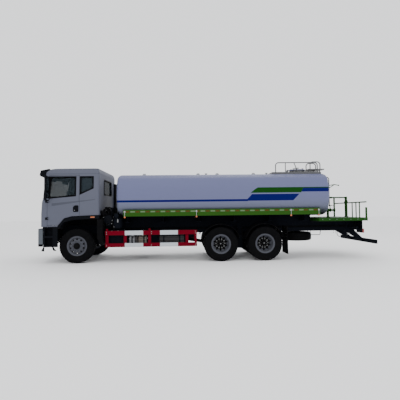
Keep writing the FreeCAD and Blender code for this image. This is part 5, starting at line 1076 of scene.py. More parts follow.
@dataclass
class Studio:
    """The camera, the pale floor and the soft lights."""

    eye: Point = (0.628, 11.741, 1.516)
    yaw: float = -0.0376
    pitch: float = 0.0332
    roll: float = -0.0121
    focal: float = 347.05
    frame_side: float = 400.0
    sensor: float = 36.0

    def build(self) -> None:
        """Sets up the whole studio."""
        self.camera()
        self.floor()
        self.lights()

    def camera(self) -> None:
        """Places the camera where the photograph was taken."""
        right, up, ahead = Vector((-1, 0, 0)), Vector((0, 0, 1)), Vector((0, -1, 0))
        right, ahead = (
            right * math.cos(self.yaw) + ahead * math.sin(self.yaw),
            ahead * math.cos(self.yaw) - right * math.sin(self.yaw),
        )
        up, ahead = (
            up * math.cos(self.pitch) - ahead * math.sin(self.pitch),
            up * math.sin(self.pitch) + ahead * math.cos(self.pitch),
        )
        right, up = (
            right * math.cos(self.roll) + up * math.sin(self.roll),
            up * math.cos(self.roll) - right * math.sin(self.roll),
        )
        data = bpy.data.cameras.new("camera")
        data.sensor_width = self.sensor
        data.lens = self.focal / self.frame_side * self.sensor
        data.clip_end = 200.0
        made = placed("camera", data)
        matrix = Matrix((right, up, -ahead)).transposed().to_4x4()
        made.matrix_world = Matrix.Translation(self.eye) @ matrix
        bpy.context.scene.camera = made

    def floor(self) -> None:
        """Adds the pale floor."""
        data = bpy.data.meshes.new("floor")
        reach = 60.0
        corners = [(-reach, -reach, 0), (reach, -reach, 0), (reach, reach, 0), (-reach, reach, 0)]
        data.from_pydata(corners, [], [(0, 1, 2, 3)])
        graph = Graph("floor_pale")
        tone = graph.mix(graph.noise(0.6, 2.0) * 0.04, (0.93, 0.93, 0.93), (0.86, 0.86, 0.86))
        data.materials.append(graph.shaded(Base_Color=tone, Roughness=0.85))
        placed("floor", data)

    def lights(self) -> None:
        """Adds the white surround and three soft lamps."""
        world = bpy.data.worlds.new("surround")
        world.use_nodes = True
        back = world.node_tree.nodes["Background"]
        back.inputs["Color"].default_value = (0.97, 0.98, 1.0, 1.0)
        back.inputs["Strength"].default_value = 1.5
        bpy.context.scene.world = world
        for name, place, aim, size, power in (
            ("key", (3.0, 9.0, 9.5), (0.0, 0.0, 1.6), 7.0, 260.0),
            ("fill", (-8.0, 8.0, 5.0), (-1.0, 0.0, 1.2), 6.0, 100.0),
            ("back", (-2.0, -9.0, 8.0), (0.0, 0.0, 1.5), 7.0, 200.0),
        ):
            data = bpy.data.lights.new(name, "AREA")
            data.size = size
            data.energy = power
            made = placed(name, data)
            made.location = place
            made.rotation_euler = (Vector(aim) - Vector(place)).to_track_quat("-Z", "Y").to_euler()


# Wheels


def pierced(form: Form, cutters: Form) -> Form:
    """Cuts one form out of another.

    Args:
        form: The form that is cut.
        cutters: The closed shapes that are taken away.

    Returns:
        A new form with what is left.
    """
    body, tool = (placed("blank", part.ended("blank")) for part in (form, cutters))
    change = body.modifiers.new("cut", "BOOLEAN")
    change.operation = "DIFFERENCE"
    change.solver = "EXACT"
    change.object = tool
    bpy.context.view_layer.update()
    seen = body.evaluated_get(bpy.context.evaluated_depsgraph_get())
    result = Form()
    result.mesh.from_mesh(seen.to_mesh())
    seen.to_mesh_clear()
    for made in (body, tool):
        data = made.data
        bpy.data.objects.remove(made)
        bpy.data.meshes.remove(data)
    return result


@dataclass(frozen=True)
class TyreShape:
    """A road tyre's section with ribs, grooves and lugs, in metres."""

    radius: float = 0.52
    width: float = 0.278
    flange: float = 0.305
    groove: float = 0.013
    shoulder: float = 0.052
    crown_drop: float = 0.0045
    lug_ease: float = 0.0022
    lugs: int = 42
    sides: int = 84
    beads: tuple[Pair, ...] = ((-0.0785, 0.2583), (-0.0947, 0.3))
    wall: tuple[Pair, ...] = (
        (-0.4, 0.0), (-0.452, 0.1), (-0.458, 0.13), (-0.476, 0.15), (-0.488, 0.3),
        (-0.498, 0.44), (-0.5, 0.52), (-0.496, 0.62), (-0.484, 0.66), (-0.486, 0.72),
        (-0.462, 0.8), (-0.452, 0.86),
    )

    def section(self) -> list[Pair]:
        """Returns the closed outline: bead, walls and the tread's floor."""
        wall = self.radius - self.flange
        floor = 1.0 - self.groove / wall
        tread = [(-0.44, 1.0 - self.groove * 1.6 / wall), (-0.2, floor), (-0.195, floor)]
        left = list(self.beads)
        left += [(u * self.width, self.flange + v * wall) for u, v in (*self.wall, *tread)]
        return left + [(-u, v) for u, v in reversed(left)]

    def turned(self, form: Form, centre: Point) -> None:
        """Adds the tyre with its five rows of lugs.

        Args:
            form: The form that takes it.
            centre: The wheel's centre.
        """
        form.lathe(self.section(), centre, "y", self.sides, True)
        pitch = math.tau / self.lugs
        floor = self.radius - self.groove * 1.7
        for low, high, shift, share in (
            (-0.13, -0.085, 0.0, 0.8), (-0.077, -0.031, 0.5, 0.84), (-0.023, 0.023, 0.0, 0.88),
            (0.031, 0.077, 0.5, 0.84), (0.085, 0.13, 0.0, 0.8),
        ):
            outermost = max(-low, high) > 0.1
            crown = self.radius - (self.crown_drop if outermost else 0.0)
            root = self.radius - self.shoulder if outermost else floor
            skew = pitch * (0.12 if shift else -0.12)
            for index in range(self.lugs):
                start = (index + shift) * pitch
                arc = (start, start + pitch * share, skew)
                self.lug(form, centre, (low, high), arc, (root, crown))

    def lug(self, form: Form, centre: Point, span: Pair, arc: Point, reach: Pair) -> None:
        """Adds one tread block.

        Args:
            form: The form that takes it.
            centre: The wheel's centre.
            span: Its two places across the tread.
            arc: Its first and last angles and its skew.
            reach: Its lowest and highest radius.
        """
        start, end, skew = arc
        inner, outer = reach
        rings = []
        for radius, ease in ((inner, 0.0), (outer - 0.002, 0.0), (outer, self.lug_ease)):
            turn = ease / self.radius
            low, high = span[0] + ease, span[1] - ease
            corners = (
                (low, start + turn), (high, start + turn + skew), (high, end - turn + skew),
                (low, end - turn),
            )
            rings.append(form.ring_of(
                Vector(centre) + turned_point("y", across, radius, angle)
                for across, angle in corners
            ))
        form.skinned(rings, 1)


@dataclass(frozen=True)
class RimShape:
    """A disc wheel's section, hand holes, nuts and dark hub, in metres.

    Attributes:
        outline: Distances along the axle with their radii, as a loop.
        ring: The radius of the ring of hand holes.
        hole: Each hand hole's radius.
        span: The holes' ends along the axle.
        face: Where the nuts sit along the axle.
        behind: Where the disc starts along the axle.
        hub: The hub's radius.
        nuts: The nuts' finish.
        studs: How many nuts and hand holes there are.
        stud_ring: The radius of the ring of nuts.
        inner: The radius of the dark part behind the disc.
    """

    outline: tuple[Pair, ...]
    ring: float
    hole: float
    span: Pair
    face: float
    behind: float
    hub: float
    nuts: Finish
    studs: int = 10
    stud_ring: float = 0.14
    inner: float = 0.215

    def bores(self, centre: Point, sign: float) -> Form:
        """Returns the cutters of the hand holes.

        Args:
            centre: The wheel's centre.
            sign: The truck's side.

        Returns:
            The cutters.
        """
        tool = Form()
        for spot in circle(centre, "y", self.ring, self.studs, 0.5):
            tool.lathe([(place, self.hole) for place in self.span], spot, "y", 14, False, sign)
        return tool

    def nut_set(self, centre: Point, sign: float) -> Form:
        """Returns the wheel nuts with their stud ends and washers.

        Args:
            centre: The wheel's centre.
            sign: The truck's side.

        Returns:
            The nuts.
        """
        form = Form()
        face = self.face
        for spot in circle(centre, "y", self.stud_ring, self.studs):
            for outline, sides in (
                ([(face - 0.004, 0.021), (face + 0.005, 0.02)], 14),
                ([(face, 0.0165), (face + 0.02, 0.0165), (face + 0.023, 0.014)], 6),
                ([(face, 0.0085), (face + 0.034, 0.0085), (face + 0.037, 0.006)], 8),
            ):
                form.lathe(outline, spot, "y", sides, False, sign)
        return form

    def build(self, names: tuple[str, str, str], body: str, centre: Point, sign: float) -> None:
        """Builds the rim with its nuts.

        Args:
            names: The rim's name, the nuts' name and the node that the rim replaces.
            body: The body that turns it.
            centre: The wheel's centre.
            sign: The truck's side.
        """
        rim = Form().lathe(self.outline, centre, "y", 60, True, sign)
        rim = pierced(rim, self.bores(centre, sign))
        made = rim.made(names[0], Finish.WHEEL, "rim_silver", body, 25.0)
        made.data.materials.append(Finish.CAST.made())
        for face in made.data.polygons:
            place = face.center - Vector(centre)
            reach = math.hypot(place.x, place.z)
            inside = place.y * sign < self.behind and reach < self.inner
            face.material_index = int(reach < self.hub or inside)
        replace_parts(made, names[2])
        self.nut_set(centre, sign).made(names[1], self.nuts, "rim_silver", body)


RIM_WELL = (
    (0.085, 0.2464), (0.0948, 0.2575), (0.105, 0.3), (0.095, 0.3), (0.079, 0.258),
    (0.04, 0.253), (-0.04, 0.253), (-0.079, 0.258), (-0.095, 0.3), (-0.105, 0.3),
    (-0.095, 0.258), (-0.085, 0.2464),
)
TWIN_WELL = tuple((0.16 + place, radius) for place, radius in RIM_WELL)
FRONT_RIM = RimShape(
    (
        (-0.021, 0.0455), (0.12, 0.0455), (0.12, 0.0), (0.178, 0.0), (0.181, 0.03),
        (0.174, 0.05), (0.172, 0.068), (0.166, 0.0765), (0.15, 0.078), (0.126, 0.079),
        (0.124, 0.098), (0.1145, 0.101), (0.1113, 0.104), (0.1113, 0.158), (0.1085, 0.168),
        (0.094, 0.205), (0.066, 0.231), (0.059, 0.24), (0.0577, 0.2464), *RIM_WELL,
        (0.042, 0.2464), (0.0441, 0.2341), (0.08, 0.199), (0.092, 0.163),
        (0.092, 0.13), (0.063, 0.125), (0.063, 0.1845), (0.0525, 0.205), (-0.1155, 0.205),
        (-0.1155, 0.188), (0.0357, 0.188), (0.0357, 0.0897), (-0.021, 0.0897),
    ),
    0.2, 0.029, (0.045, 0.14), 0.1113, 0.05, 0.096, Finish.WHEEL,
)
DRIVE_RIM = RimShape(
    (
        (-0.16, 0.0455), (0.0713, 0.0455), (0.0713, 0.0), (0.11, 0.0), (0.113, 0.03),
        (0.11, 0.058), (0.1, 0.074), (0.09, 0.078), (0.052, 0.08), (0.05, 0.104),
        (0.038, 0.11), (0.0252, 0.113), (0.0252, 0.17), (0.034, 0.186), (0.086, 0.226),
        (0.098, 0.236), (0.10225, 0.2464), *TWIN_WELL, (0.08125, 0.2464),
        (0.08125, 0.2291), (0.0025, 0.1638), (-0.0025, 0.1638), (-0.08125, 0.2291),
        (-0.08125, 0.2464), *((-place, radius) for place, radius in reversed(TWIN_WELL)),
        (-0.10225, 0.2464), (-0.10225, 0.2291), (-0.0252, 0.156), (-0.0252, 0.1248),
        (-0.1134, 0.1248), (-0.1134, 0.1948), (-0.126, 0.205), (-0.2503, 0.205),
        (-0.2503, 0.188), (-0.1386, 0.188), (-0.1386, 0.0936), (-0.16, 0.0936),
    ),
    0.202, 0.027, (0.02, 0.12), 0.0252, 0.04, 0.112, Finish.BRIGHT,
)


@dataclass
class Wheels:
    """Every tyre and rim of the truck, on the body that turns it."""

    shape: TyreShape = TyreShape()
    steer_y: float = 1.01
    dual_y: float = 0.93
    dual_half: float = 0.16

    def build(self) -> None:
        """Builds the front wheels and the twin wheels."""
        for side, sign in SIDES:
            centre = (AXLE_X, sign * self.steer_y, HUB_Z)
            body = "front_wheel_" + side
            self.tyres((centre,), body, "front_tyre_" + side)
            names = ("rim_front_" + side, "nuts_front_" + side, body)
            FRONT_RIM.build(names, body, centre, sign)
            for place, x in zip(("front", "rear"), DRIVE_X):
                middle = sign * self.dual_y
                centre = (x, middle, HUB_Z)
                body = "%s_drive_wheels_%s" % (place, side)
                centres = [(x, middle - way * self.dual_half, HUB_Z) for way in SIGNS]
                self.tyres(centres, body, "tyres_%s_drive_%s" % (place, side))
                names = ("rims_" + body, "nuts_" + body, "wheels_%s_drive_%s" % (place, side))
                DRIVE_RIM.build(names, body, centre, sign)
                self.hub_bolts(body, centre, sign)

    def tyres(self, centres: Sequence[Point], body: str, node: str) -> None:
        """Builds the tyres that turn with one body.

        Args:
            centres: The tyres' centres.
            body: The body.
            node: The node that they replace.
        """
        form = Form()
        for centre in centres:
            self.shape.turned(form, centre)
        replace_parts(form.made("tread_" + body, Finish.TYRE, "tyre", body), node)

    def hub_bolts(self, body: str, centre: Point, sign: float) -> None:
        """Adds the bolts and the cap on a drive hub.

        Args:
            body: The body that turns them.
            centre: The middle of the twin wheels.
            sign: The truck's side.
        """
        form = Form()
        for spot in circle(centre, "y", 0.092, 8, 0.5):
            form.lathe([(0.046, 0.008), (0.058, 0.007)], spot, "y", 6, False, sign)
        form.lathe([(0.108, 0.02), (0.118, 0.016)], centre, "y", 16, False, sign)
        form.made("hub_bolts_" + body, Finish.BRIGHT, "rim_silver", body)


# Fittings


def skin_y(height: float) -> float:
    """Returns the half width of the cab's skin at a height."""
    return SKIN_HALF - SKIN_LEAN * max(0.0, height - SHOULDER_Z) / (EAVE_Z - SHOULDER_Z)


def skin_x(y: float, height: float) -> float:
    """Returns the x of the cab's front skin."""
    knots = ((1.11, 0.0), (1.5, 0.0), (1.85, 0.022), (SHOULDER_Z, 0.075), (EAVE_Z, 0.14))
    setback = knots[-1][1]
    for (low, first), (high, last) in zip(knots, knots[1:]):
        if low <= height <= high:
            setback = first + (last - first) * (height - low) / (high - low)
    return 5.15 - setback - (5.0 - math.sqrt(25.0 - y * y))


@dataclass(frozen=True)
class CabSide:
    """Seals, handle, mirror glasses and indicator of one side of the cab."""

    side: str
    sign: float

    def build(self) -> None:
        """Adds every fitting of the side."""
        self.seals()
        self.handle()
        self.mirror()
        self.indicator()

    def seals(self) -> None:
        """Adds the rubber seals of the side's windows."""
        for name, body, corners in (
            ("door_seal_", "door_" + self.side, DOOR_WINDOW),
            ("quarter_seal_", "cab", QUARTER_WINDOW),
        ):
            form = Form()
            for depth, radius in ((0.001, 0.0095), (0.026, 0.012)):
                path = [(along(d), self.sign * (skin_y(z) - depth), z) for d, z in corners]
                form.loop(path, radius)
            form.made(name + self.side, Finish.RUBBER, "rubber", body)

    def handle(self) -> None:
        """Adds the door's black handle in its bowl, with its lock."""
        sign = self.sign
        outline = ((0.085, 1.555), (-0.062, 1.555), (-0.066, 1.74), (0.03, 1.742), (0.085, 1.695))
        base = [(along(d), sign * 1.196, z) for d, z in outline]
        bowl = Form().plate(base, (0.0, sign * 0.009, 0.0), 0.004)
        bowl.loop([(along(d), sign * 1.204, z) for d, z in outline], 0.006, 8, 0.025)
        low, high = (along(-0.052), sign * 1.202, 1.572), (along(-0.014), sign * 1.222, 1.725)
        bowl.block(low, high, 0.006)
        bowl.made("door_handle_" + self.side, Finish.TRIM, "trim_black", "door_" + self.side)
        profile = [(1.2, 0.011), (1.209, 0.011), (1.21, 0.008)]
        lock = Form().lathe(profile, (along(0.045), 0.0, 1.6), "y", 16, False, sign)
        lock.made("door_lock_" + self.side, Finish.BRIGHT, "trim_black", "door_" + self.side)

    def mirror(self) -> None:
        """Adds the mirror glasses with the edges of their housings."""
        sign, body = self.sign, "door_" + self.side
        for name, low, high in (("main", 2.165, 2.59), ("wide", 1.915, 2.125)):
            glass = Form().block((4.7165, sign * 1.322, low), (4.7215, sign * 1.478, high), 0.0015)
            glass.made("mirror_glass_%s_%s" % (name, self.side), Finish.MIRROR, "glass", body)
        edge = Form()
        for low, high in ((2.155, 2.6), (1.905, 2.135)):
            corners = ((1.316, low), (1.484, low), (1.484, high), (1.316, high))
            edge.loop([(4.7195, sign * y, z) for y, z in corners], 0.006, 6, 0.02)
        edge.made("mirror_edge_" + self.side, Finish.TRIM, "trim_black", body)

    def indicator(self) -> None:
        """Adds the amber indicator on the wheel arch behind the door."""
        lens = ((-0.565, 1.2, 1.362), (-0.425, 1.232, 1.412))
        base = ((-0.578, 1.199, 1.352), (-0.412, 1.226, 1.422))
        for name, finish, slot, corners, bevel in (
            ("indicator_", Finish.AMBER, "marker", lens, 0.008),
            ("indicator_base_", Finish.TRIM, "trim_black", base, 0.005),
        ):
            low, high = ((along(reach), self.sign * y, z) for reach, y, z in corners)
            Form().block(low, high, bevel).made(name + self.side, finish, slot, "cab")


@dataclass
class CabFittings:
    """Seals, lips, wipers, lamps, nozzles and curtains of the cab; the curtains also stand in for
    shade inside it.
    """

    def build(self) -> None:
        """Adds every fitting of the cab."""
        for side, sign in SIDES:
            CabSide(side, sign).build()
        self.corner_lips()
        self.screen_seals()
        self.wipers()
        self.front_lamps()
        self.roof_lamps()
        self.nozzles()
        self.inside()

    def corner_lips(self) -> None:
        """Adds the rubber lip that hangs below each front corner of the cab."""
        form = Form()
        outline = (
            (4.815, 1.186), (4.892, 1.186), (4.915, 1.184), (4.94, 1.172), (4.962, 1.145),
            (4.985, 1.09), (5.01, 1.02),
        )
        section = ((0.0, 1.114), (0.0, 1.066), (1.0, 1.066), (1.0, 1.114))
        for sign in SIGNS:
            form.skinned([
                form.ring_of(
                    Vector((x - 0.006 * deep, sign * (y - 0.008 * deep), z)) for deep, z in section
                )
                for x, y in outline
            ])
        form.made("corner_lips", Finish.RUBBER, "trim_black", "cab")

    def screen_seals(self) -> None:
        """Adds the seals of the windscreen and the rear window."""
        steps = [1.06 - index * 2.12 / 14 for index in range(15)]
        low = [(skin_x(y, 2.01) + 0.001, y, 2.01) for y in steps]
        high = [(skin_x(y, 2.64) + 0.001, y, 2.64) for y in reversed(steps)]
        seal = Form().loop(low + high, 0.011, 8, 0.04)
        seal.made("screen_seal", Finish.RUBBER, "rubber", "cab")
        seal = Form().loop([(3.273, y, z) for y, z in REAR_WINDOW], 0.011)
        seal.made("rear_window_seal", Finish.RUBBER, "rubber", "cab")

    def wipers(self) -> None:
        """Adds both wipers, parked along the windscreen's foot."""
        form = Form()
        foot_z = 1.962
        for foot in (0.72, -0.28):
            pivot = (skin_x(foot, foot_z) + 0.012, foot, foot_z)
            form.lathe([(-0.02, 0.02), (0.02, 0.018), (0.026, 0.01)], pivot, "x", 14)
            elbow = (skin_x(foot - 0.3, 2.03) + 0.032, foot - 0.3, 2.035)
            tip = (skin_x(foot - 0.56, 2.075) + 0.026, foot - 0.56, 2.075)
            form.tube([(pivot[0] + 0.02, foot, foot_z), elbow, tip], 0.0075, 8, 0.05)
            blade = [
                (skin_x(foot - reach, 2.058) + 0.012, foot - reach, 2.058 + 0.028 * reach)
                for reach in (0.2, 0.34, 0.48, 0.62, 0.76, 0.88)
            ]
            form.tube(blade, 0.007, 6)
            for x, y, z in (blade[1], blade[3]):
                low, high = (x - 0.004, y - 0.045, z - 0.008), (x + 0.014, y + 0.045, z + 0.008)
                form.block(low, high, 0.003)
        form.made("wipers", Finish.TRIM, "trim_black", "cab")

    def front_lamps(self) -> None:
        """Adds the headlamps' bowls and bulbs, the round fog lamps and the blank plate."""
        bowls, bulbs, fogs, lenses = Form(), Form(), Form(), Form()
        bowl = (
            (-0.034, 0.012), (-0.024, 0.04), (0.0, 0.062), (0.026, 0.074),
            (0.026, 0.07), (0.002, 0.057), (-0.02, 0.036), (-0.029, 0.012),
        )
        bulb = ((-0.03, 0.008), (0.0, 0.009), (0.012, 0.008), (0.016, 0.003))
        rim = ((-0.01, 0.066), (0.007, 0.064), (0.01, 0.058), (0.004, 0.054), (-0.01, 0.054))
        lens = ((-0.012, 0.053), (0.003, 0.053), (0.008, 0.03), (0.009, 0.01))
        for sign in SIGNS:
            for y, x in ((0.735, 5.128), (0.955, 5.09)):
                bowls.lathe(bowl, (x, sign * y, 0.87), "x", 32, True)
                bulbs.lathe(bulb, (x, sign * y, 0.87), "x", 14)
            fogs.lathe(rim, (5.153, sign * 0.85, 0.665), "x", 28, True)
            lenses.lathe(lens, (5.153, sign * 0.85, 0.665), "x", 28)
        bowls.made("headlamp_bowls", Finish.BRIGHT, "lamp")
        bulbs.made("headlamp_bulbs", Finish.CLEAR, "lamp")
        fogs.made("fog_lamp_rims", Finish.TRIM, "trim_black")
        lenses.made("fog_lamp_lenses", Finish.CLEAR, "lamp")
        plate = Form().block((5.216, -0.22, 0.745), (5.2275, 0.22, 0.885), 0.002)
        plate.made("front_plate", Finish.WHITE, "trim_black")

    def roof_lamps(self) -> None:
        """Adds the row of small clearance lamps along the visor."""
        lenses, bases = Form(), Form()
        for y in (-0.82, -0.42, 0.0, 0.42, 0.82):
            x = skin_x(y, EAVE_Z) + 0.046
            lenses.block((x, y - 0.045, 2.8), (x + 0.05, y + 0.045, 2.826), 0.008)
            bases.block((x - 0.006, y - 0.052, 2.784), (x + 0.056, y + 0.052, 2.808), 0.004)
        lenses.made("roof_lamp_lenses", Finish.AMBER, "marker", "cab")
        bases.made("roof_lamp_bases", Finish.TRIM, "trim_black", "cab")

    def nozzles(self) -> None:
        """Adds the flat flushing nozzles under the bumper with their pipe."""
        form = Form().tube([(4.96, -1.02, 0.545), (4.96, 1.02, 0.545)], 0.024, 14)
        for sign in SIGNS:
            for reach, y, fan in ((0.985, 1.08, 0.03), (0.8, 1.0, -0.12)):
                foot = (along(reach + fan * 0.5), sign * (y + 0.01), 0.465)
                route = [(4.96, sign * 0.98, 0.545), (along(reach), sign * y, 0.535), foot]
                form.tube(route, 0.018, 12, 0.03)
                neck, tip = along(reach + fan * 0.4), along(reach + fan)
                outline = (
                    (neck - 0.02, 0.01, 0.47), (neck + 0.02, 0.01, 0.47),
                    (tip + 0.048, 0.03, 0.385), (tip - 0.048, 0.03, 0.372),
                )
                corners = [(x, sign * (y + dy), z) for x, dy, z in outline]
                form.plate(corners, (0.0, sign * 0.016, 0.0))
                form.lathe([(-0.012, 0.026), (0.012, 0.026)], foot, "z", 12)
        form.made("front_nozzles", Finish.BLACK, "frame_black")

    def inside(self) -> None:
        """Adds curtains, head rests, belts and sun blinds; the curtains also darken the quarter
        windows as painted shade.
        """
        cloth, rests, belts, blinds = Form(), Form(), Form(), Form()
        folds = [0.007 * math.sin(index * 1.7) for index in range(25)]
        wave = [(3.41 + index * 0.017, 1.088 + fold) for index, fold in enumerate(folds)]
        for sign in SIGNS:
            low, high = (
                cloth.ring_of(Vector((x, sign * y, z)) for x, y in wave) for z in (2.12, 2.62)
            )
            for index in range(len(wave) - 1):
                cloth.face((low[index], low[index + 1], high[index + 1], high[index]))
            belts.tube([(3.835, sign * 1.075, 1.3), (3.835, sign * 1.068, 2.36)], 0.012, 4)
            belts.block((3.815, sign * 1.056, 2.34), (3.855, sign * 1.084, 2.42), 0.006)
        for y in (-0.64, 0.64):
            rests.block((3.56, y - 0.13, 2.3), (3.655, y + 0.13, 2.47), 0.025)
            for post in (y - 0.06, y + 0.06):
                rests.tube([(3.605, post, 2.24), (3.605, post, 2.32)], 0.007, 8)
        for y in (-0.56, 0.56):
            turn = Matrix.Translation((skin_x(y, 2.6) - 0.115, y, 2.6))
            turn = turn @ Matrix.Rotation(math.radians(-14), 4, "Y")
            blinds.block((-0.012, -0.27, -0.085), (0.012, 0.27, 0.085), 0.008, turn)
        # Dark curtains behind the quarter windows, also standing in for the shade inside the cab.
        cloth.made("curtains_for_shade", Finish.SEAT, "seat_cloth", "cab", 80.0)
        rests.made("head_rests", Finish.SEAT, "seat_cloth", "cab")
        belts.made("seat_belts", Finish.TRIM, "seat_cloth", "cab")
        blinds.made("sun_blinds", Finish.INSIDE, "inside_plastic", "cab")


@dataclass
class CabRear:
    """Air filter, bellows, coiled lines and hoses between cab and tank."""

    def build(self) -> None:
        """Adds everything behind the cab."""
        self.filter()
        self.hoses()
        self.hydraulics()
        self.valves()

    def filter(self) -> None:
        """Adds the air filter, its straps and the ribbed intake pipe."""
        centre = (along(-0.905), 0.0, 1.3)
        profile = (
            (0.42, 0.06), (0.424, 0.118), (0.44, 0.138), (0.47, 0.142), (0.6, 0.142),
            (0.606, 0.147), (0.622, 0.147), (0.628, 0.142), (0.9, 0.142), (0.906, 0.15),
            (0.93, 0.15), (0.936, 0.143), (0.985, 0.138), (1.005, 0.118), (1.01, 0.06),
        )
        shell = Form().lathe(profile, centre, "y", 36)
        shell.lathe([(1.008, 0.052), (1.022, 0.05), (1.024, 0.03)], centre, "y", 24)
        shell.made("air_filter", Finish.TRIM, "trim_black")
        upper = (
            (3.237, 1.01, 1.578), (3.237, 1.0, 1.5), (3.15, 0.93, 1.455), (3.05, 0.86, 1.43),
        )
        lower = (
            (3.05, 0.46, 1.3), (3.07, 0.36, 1.31), (3.15, 0.3, 1.33), (3.3, 0.26, 1.3),
        )
        pipe = Form().tube(upper, 0.066, 20, 0.06, 0.009, 0.03)
        pipe.tube(lower, 0.058, 20, 0.06, 0.008, 0.028)
        pipe.made("intake_bellows", Finish.RUBBER, "rubber")
        straps = Form()
        for y in (0.535, 0.8):
            straps.hoop((y - 0.016, y + 0.016), (0.141, 0.1445), centre, "y", 36)
            straps.block((3.02, y - 0.018, 1.125), (3.08, y + 0.018, 1.17), 0.003)
            straps.bolt((3.05, y, 1.4445), "z", 0.01)
        straps.made("filter_straps", Finish.BRIGHT, "frame_black")
        bracket = Form().block((2.985, 0.44, 1.105), (3.115, 0.96, 1.14), 0.004)
        bracket.block((3.03, 0.43, 0.93), (3.07, 0.48, 1.13), 0.004)
        bracket.made("filter_bracket", Finish.BLACK, "frame_black")

    def hoses(self) -> None:
        """Adds the bundle of black hoses with clamps and two coiled air lines."""
        hoses, clamps, coils = Form(), Form(), Form()
        for index in range(7):
            y = 0.5 + index * 0.085
            sway = 0.035 * math.sin(index * 2.1)
            top = 1.62 + 0.05 * math.cos(index * 1.3)
            radius = (0.018, 0.013, 0.022, 0.011)[index % 4]
            path = [
                (3.185, y, top - 0.28 + sway), (3.17, y + sway, top),
                (3.085, y + sway * 0.5, top + 0.02), (2.99 + sway, y * 0.9, 1.42),
                (2.925, y * 0.86 + sway, 1.2), (2.96, 0.475, 1.01),
            ]
            hoses.tube(path, radius, 10, 0.09)
            band = [(-0.006, radius + 0.002), (0.006, radius + 0.002)]
            clamps.lathe(band, (3.182, y, top - 0.25 + sway), "z", 14)
        hoses.made("cab_hoses", Finish.RUBBER, "rubber")
        clamps.made("hose_clamps", Finish.BRIGHT, "rubber")
        turns, steps, reach = 11, 130, 0.038
        for y, start in ((0.3, 0.0), (0.2, 1.2)):
            path = [(3.235, y, 1.7)]
            for share in (index / steps for index in range(steps + 1)):
                turn = start + share * math.tau * turns
                drop = 0.26 * share + 0.1 * math.sin(share * math.pi)
                z = 1.64 - drop + reach * math.sin(turn)
                path.append((3.2 - 0.25 * share, y + reach * math.cos(turn), z))
            coils.tube(path + [(2.945, y, 1.3)], 0.0065, 6)
        coils.made("coiled_lines", Finish.RUBBER, "rubber")

    def hydraulics(self) -> None:
        """Adds the tilt pump with its tank and pipes, and the black bulkhead plate above it,
        widened as a dark sheet for shade.
        """
        unit = Form()
        unit.block((2.655, 0.5, 1.02), (2.88, 1.02, 1.35), 0.025)
        unit.block((2.7, 0.54, 1.345), (2.84, 0.7, 1.47), 0.02)
        unit.lathe([(0.86, 0.07), (1.055, 0.07), (1.062, 0.055)], (2.79, 0.0, 1.42), "y", 24)
        for y in (0.54 + index * 0.055 for index in range(9)):
            unit.block((2.646, y, 1.05), (2.66, y + 0.022, 1.32), 0.003)
        pipe = ((0.0, 0.0, 1.34), (0.0, 0.0, 1.43), (0.06, -0.1, 1.48), (0.1, -0.22, 1.38))
        for x, y in ((2.7, 0.76), (2.76, 0.82), (2.83, 0.78)):
            unit.tube([(x + dx, y + dy, z) for dx, dy, z in pipe], 0.014, 8, 0.05)
        # Bulkhead plate, widened across the truck as a dark sheet standing in for the shade between
        # cab and tank.
        unit.block((2.938, -0.35, 1.38), (2.948, 1.02, 1.67), 0.004)
        for y in (0.25, 0.55, 0.85):
            unit.block((2.935, y, 1.12), (2.951, y + 0.03, 1.4), 0.003)
            unit.bolt((2.948, y + 0.015, 1.62), "x", 0.01)
        unit.made("hydraulic_unit", Finish.BLACK, "frame_black")

    def valves(self) -> None:
        """Adds the relay valves with their lines and the filler bottle."""
        body, bright, lines = Form(), Form(), Form()
        spots = ((2.925, 1.0, 1.18), (2.86, 0.96, 1.08), (2.93, 0.72, 1.08))
        for x, y, z in spots:
            body.block((x - 0.045, y - 0.05, z - 0.04), (x + 0.045, y + 0.05, z + 0.04), 0.01)
            body.lathe([(0.038, 0.034), (0.075, 0.034), (0.082, 0.026)], (x, y, z), "z", 18)
            body.lathe([(0.045, 0.016), (0.075, 0.014)], (x, y, z), "y", 12)
        body.block((2.835, 0.47, 1.0), (2.88, 1.06, 1.035), 0.003)
        body.made("relay_valves", Finish.CAST, "cast")
        for spot in spots[:2]:
            bright.lathe([(0.072, 0.01), (0.095, 0.01), (0.097, 0.006)], spot, "y", 8)
            bright.lathe([(0.08, 0.009), (0.112, 0.009)], spot, "z", 8)
        bottle = ((1.215, 0.018), (1.225, 0.021), (1.29, 0.021), (1.3, 0.014), (1.315, 0.012))
        bright.lathe(bottle, (2.745, 1.045, 0.0), "z", 18)
        bright.made("bright_fittings", Finish.BRIGHT, "trim_black")
        for index, y in enumerate((0.99, 0.93, 0.87)):
            path = [
                (2.9, y, 1.14), (2.88, y, 1.05 - index * 0.02),
                (2.78 - index * 0.03, y - 0.05, 1.02), (2.7, 0.48, 1.0 - index * 0.025),
            ]
            lines.tube(path, 0.008, 8, 0.05)
        lines.made("valve_lines", Finish.RUBBER, "rubber")


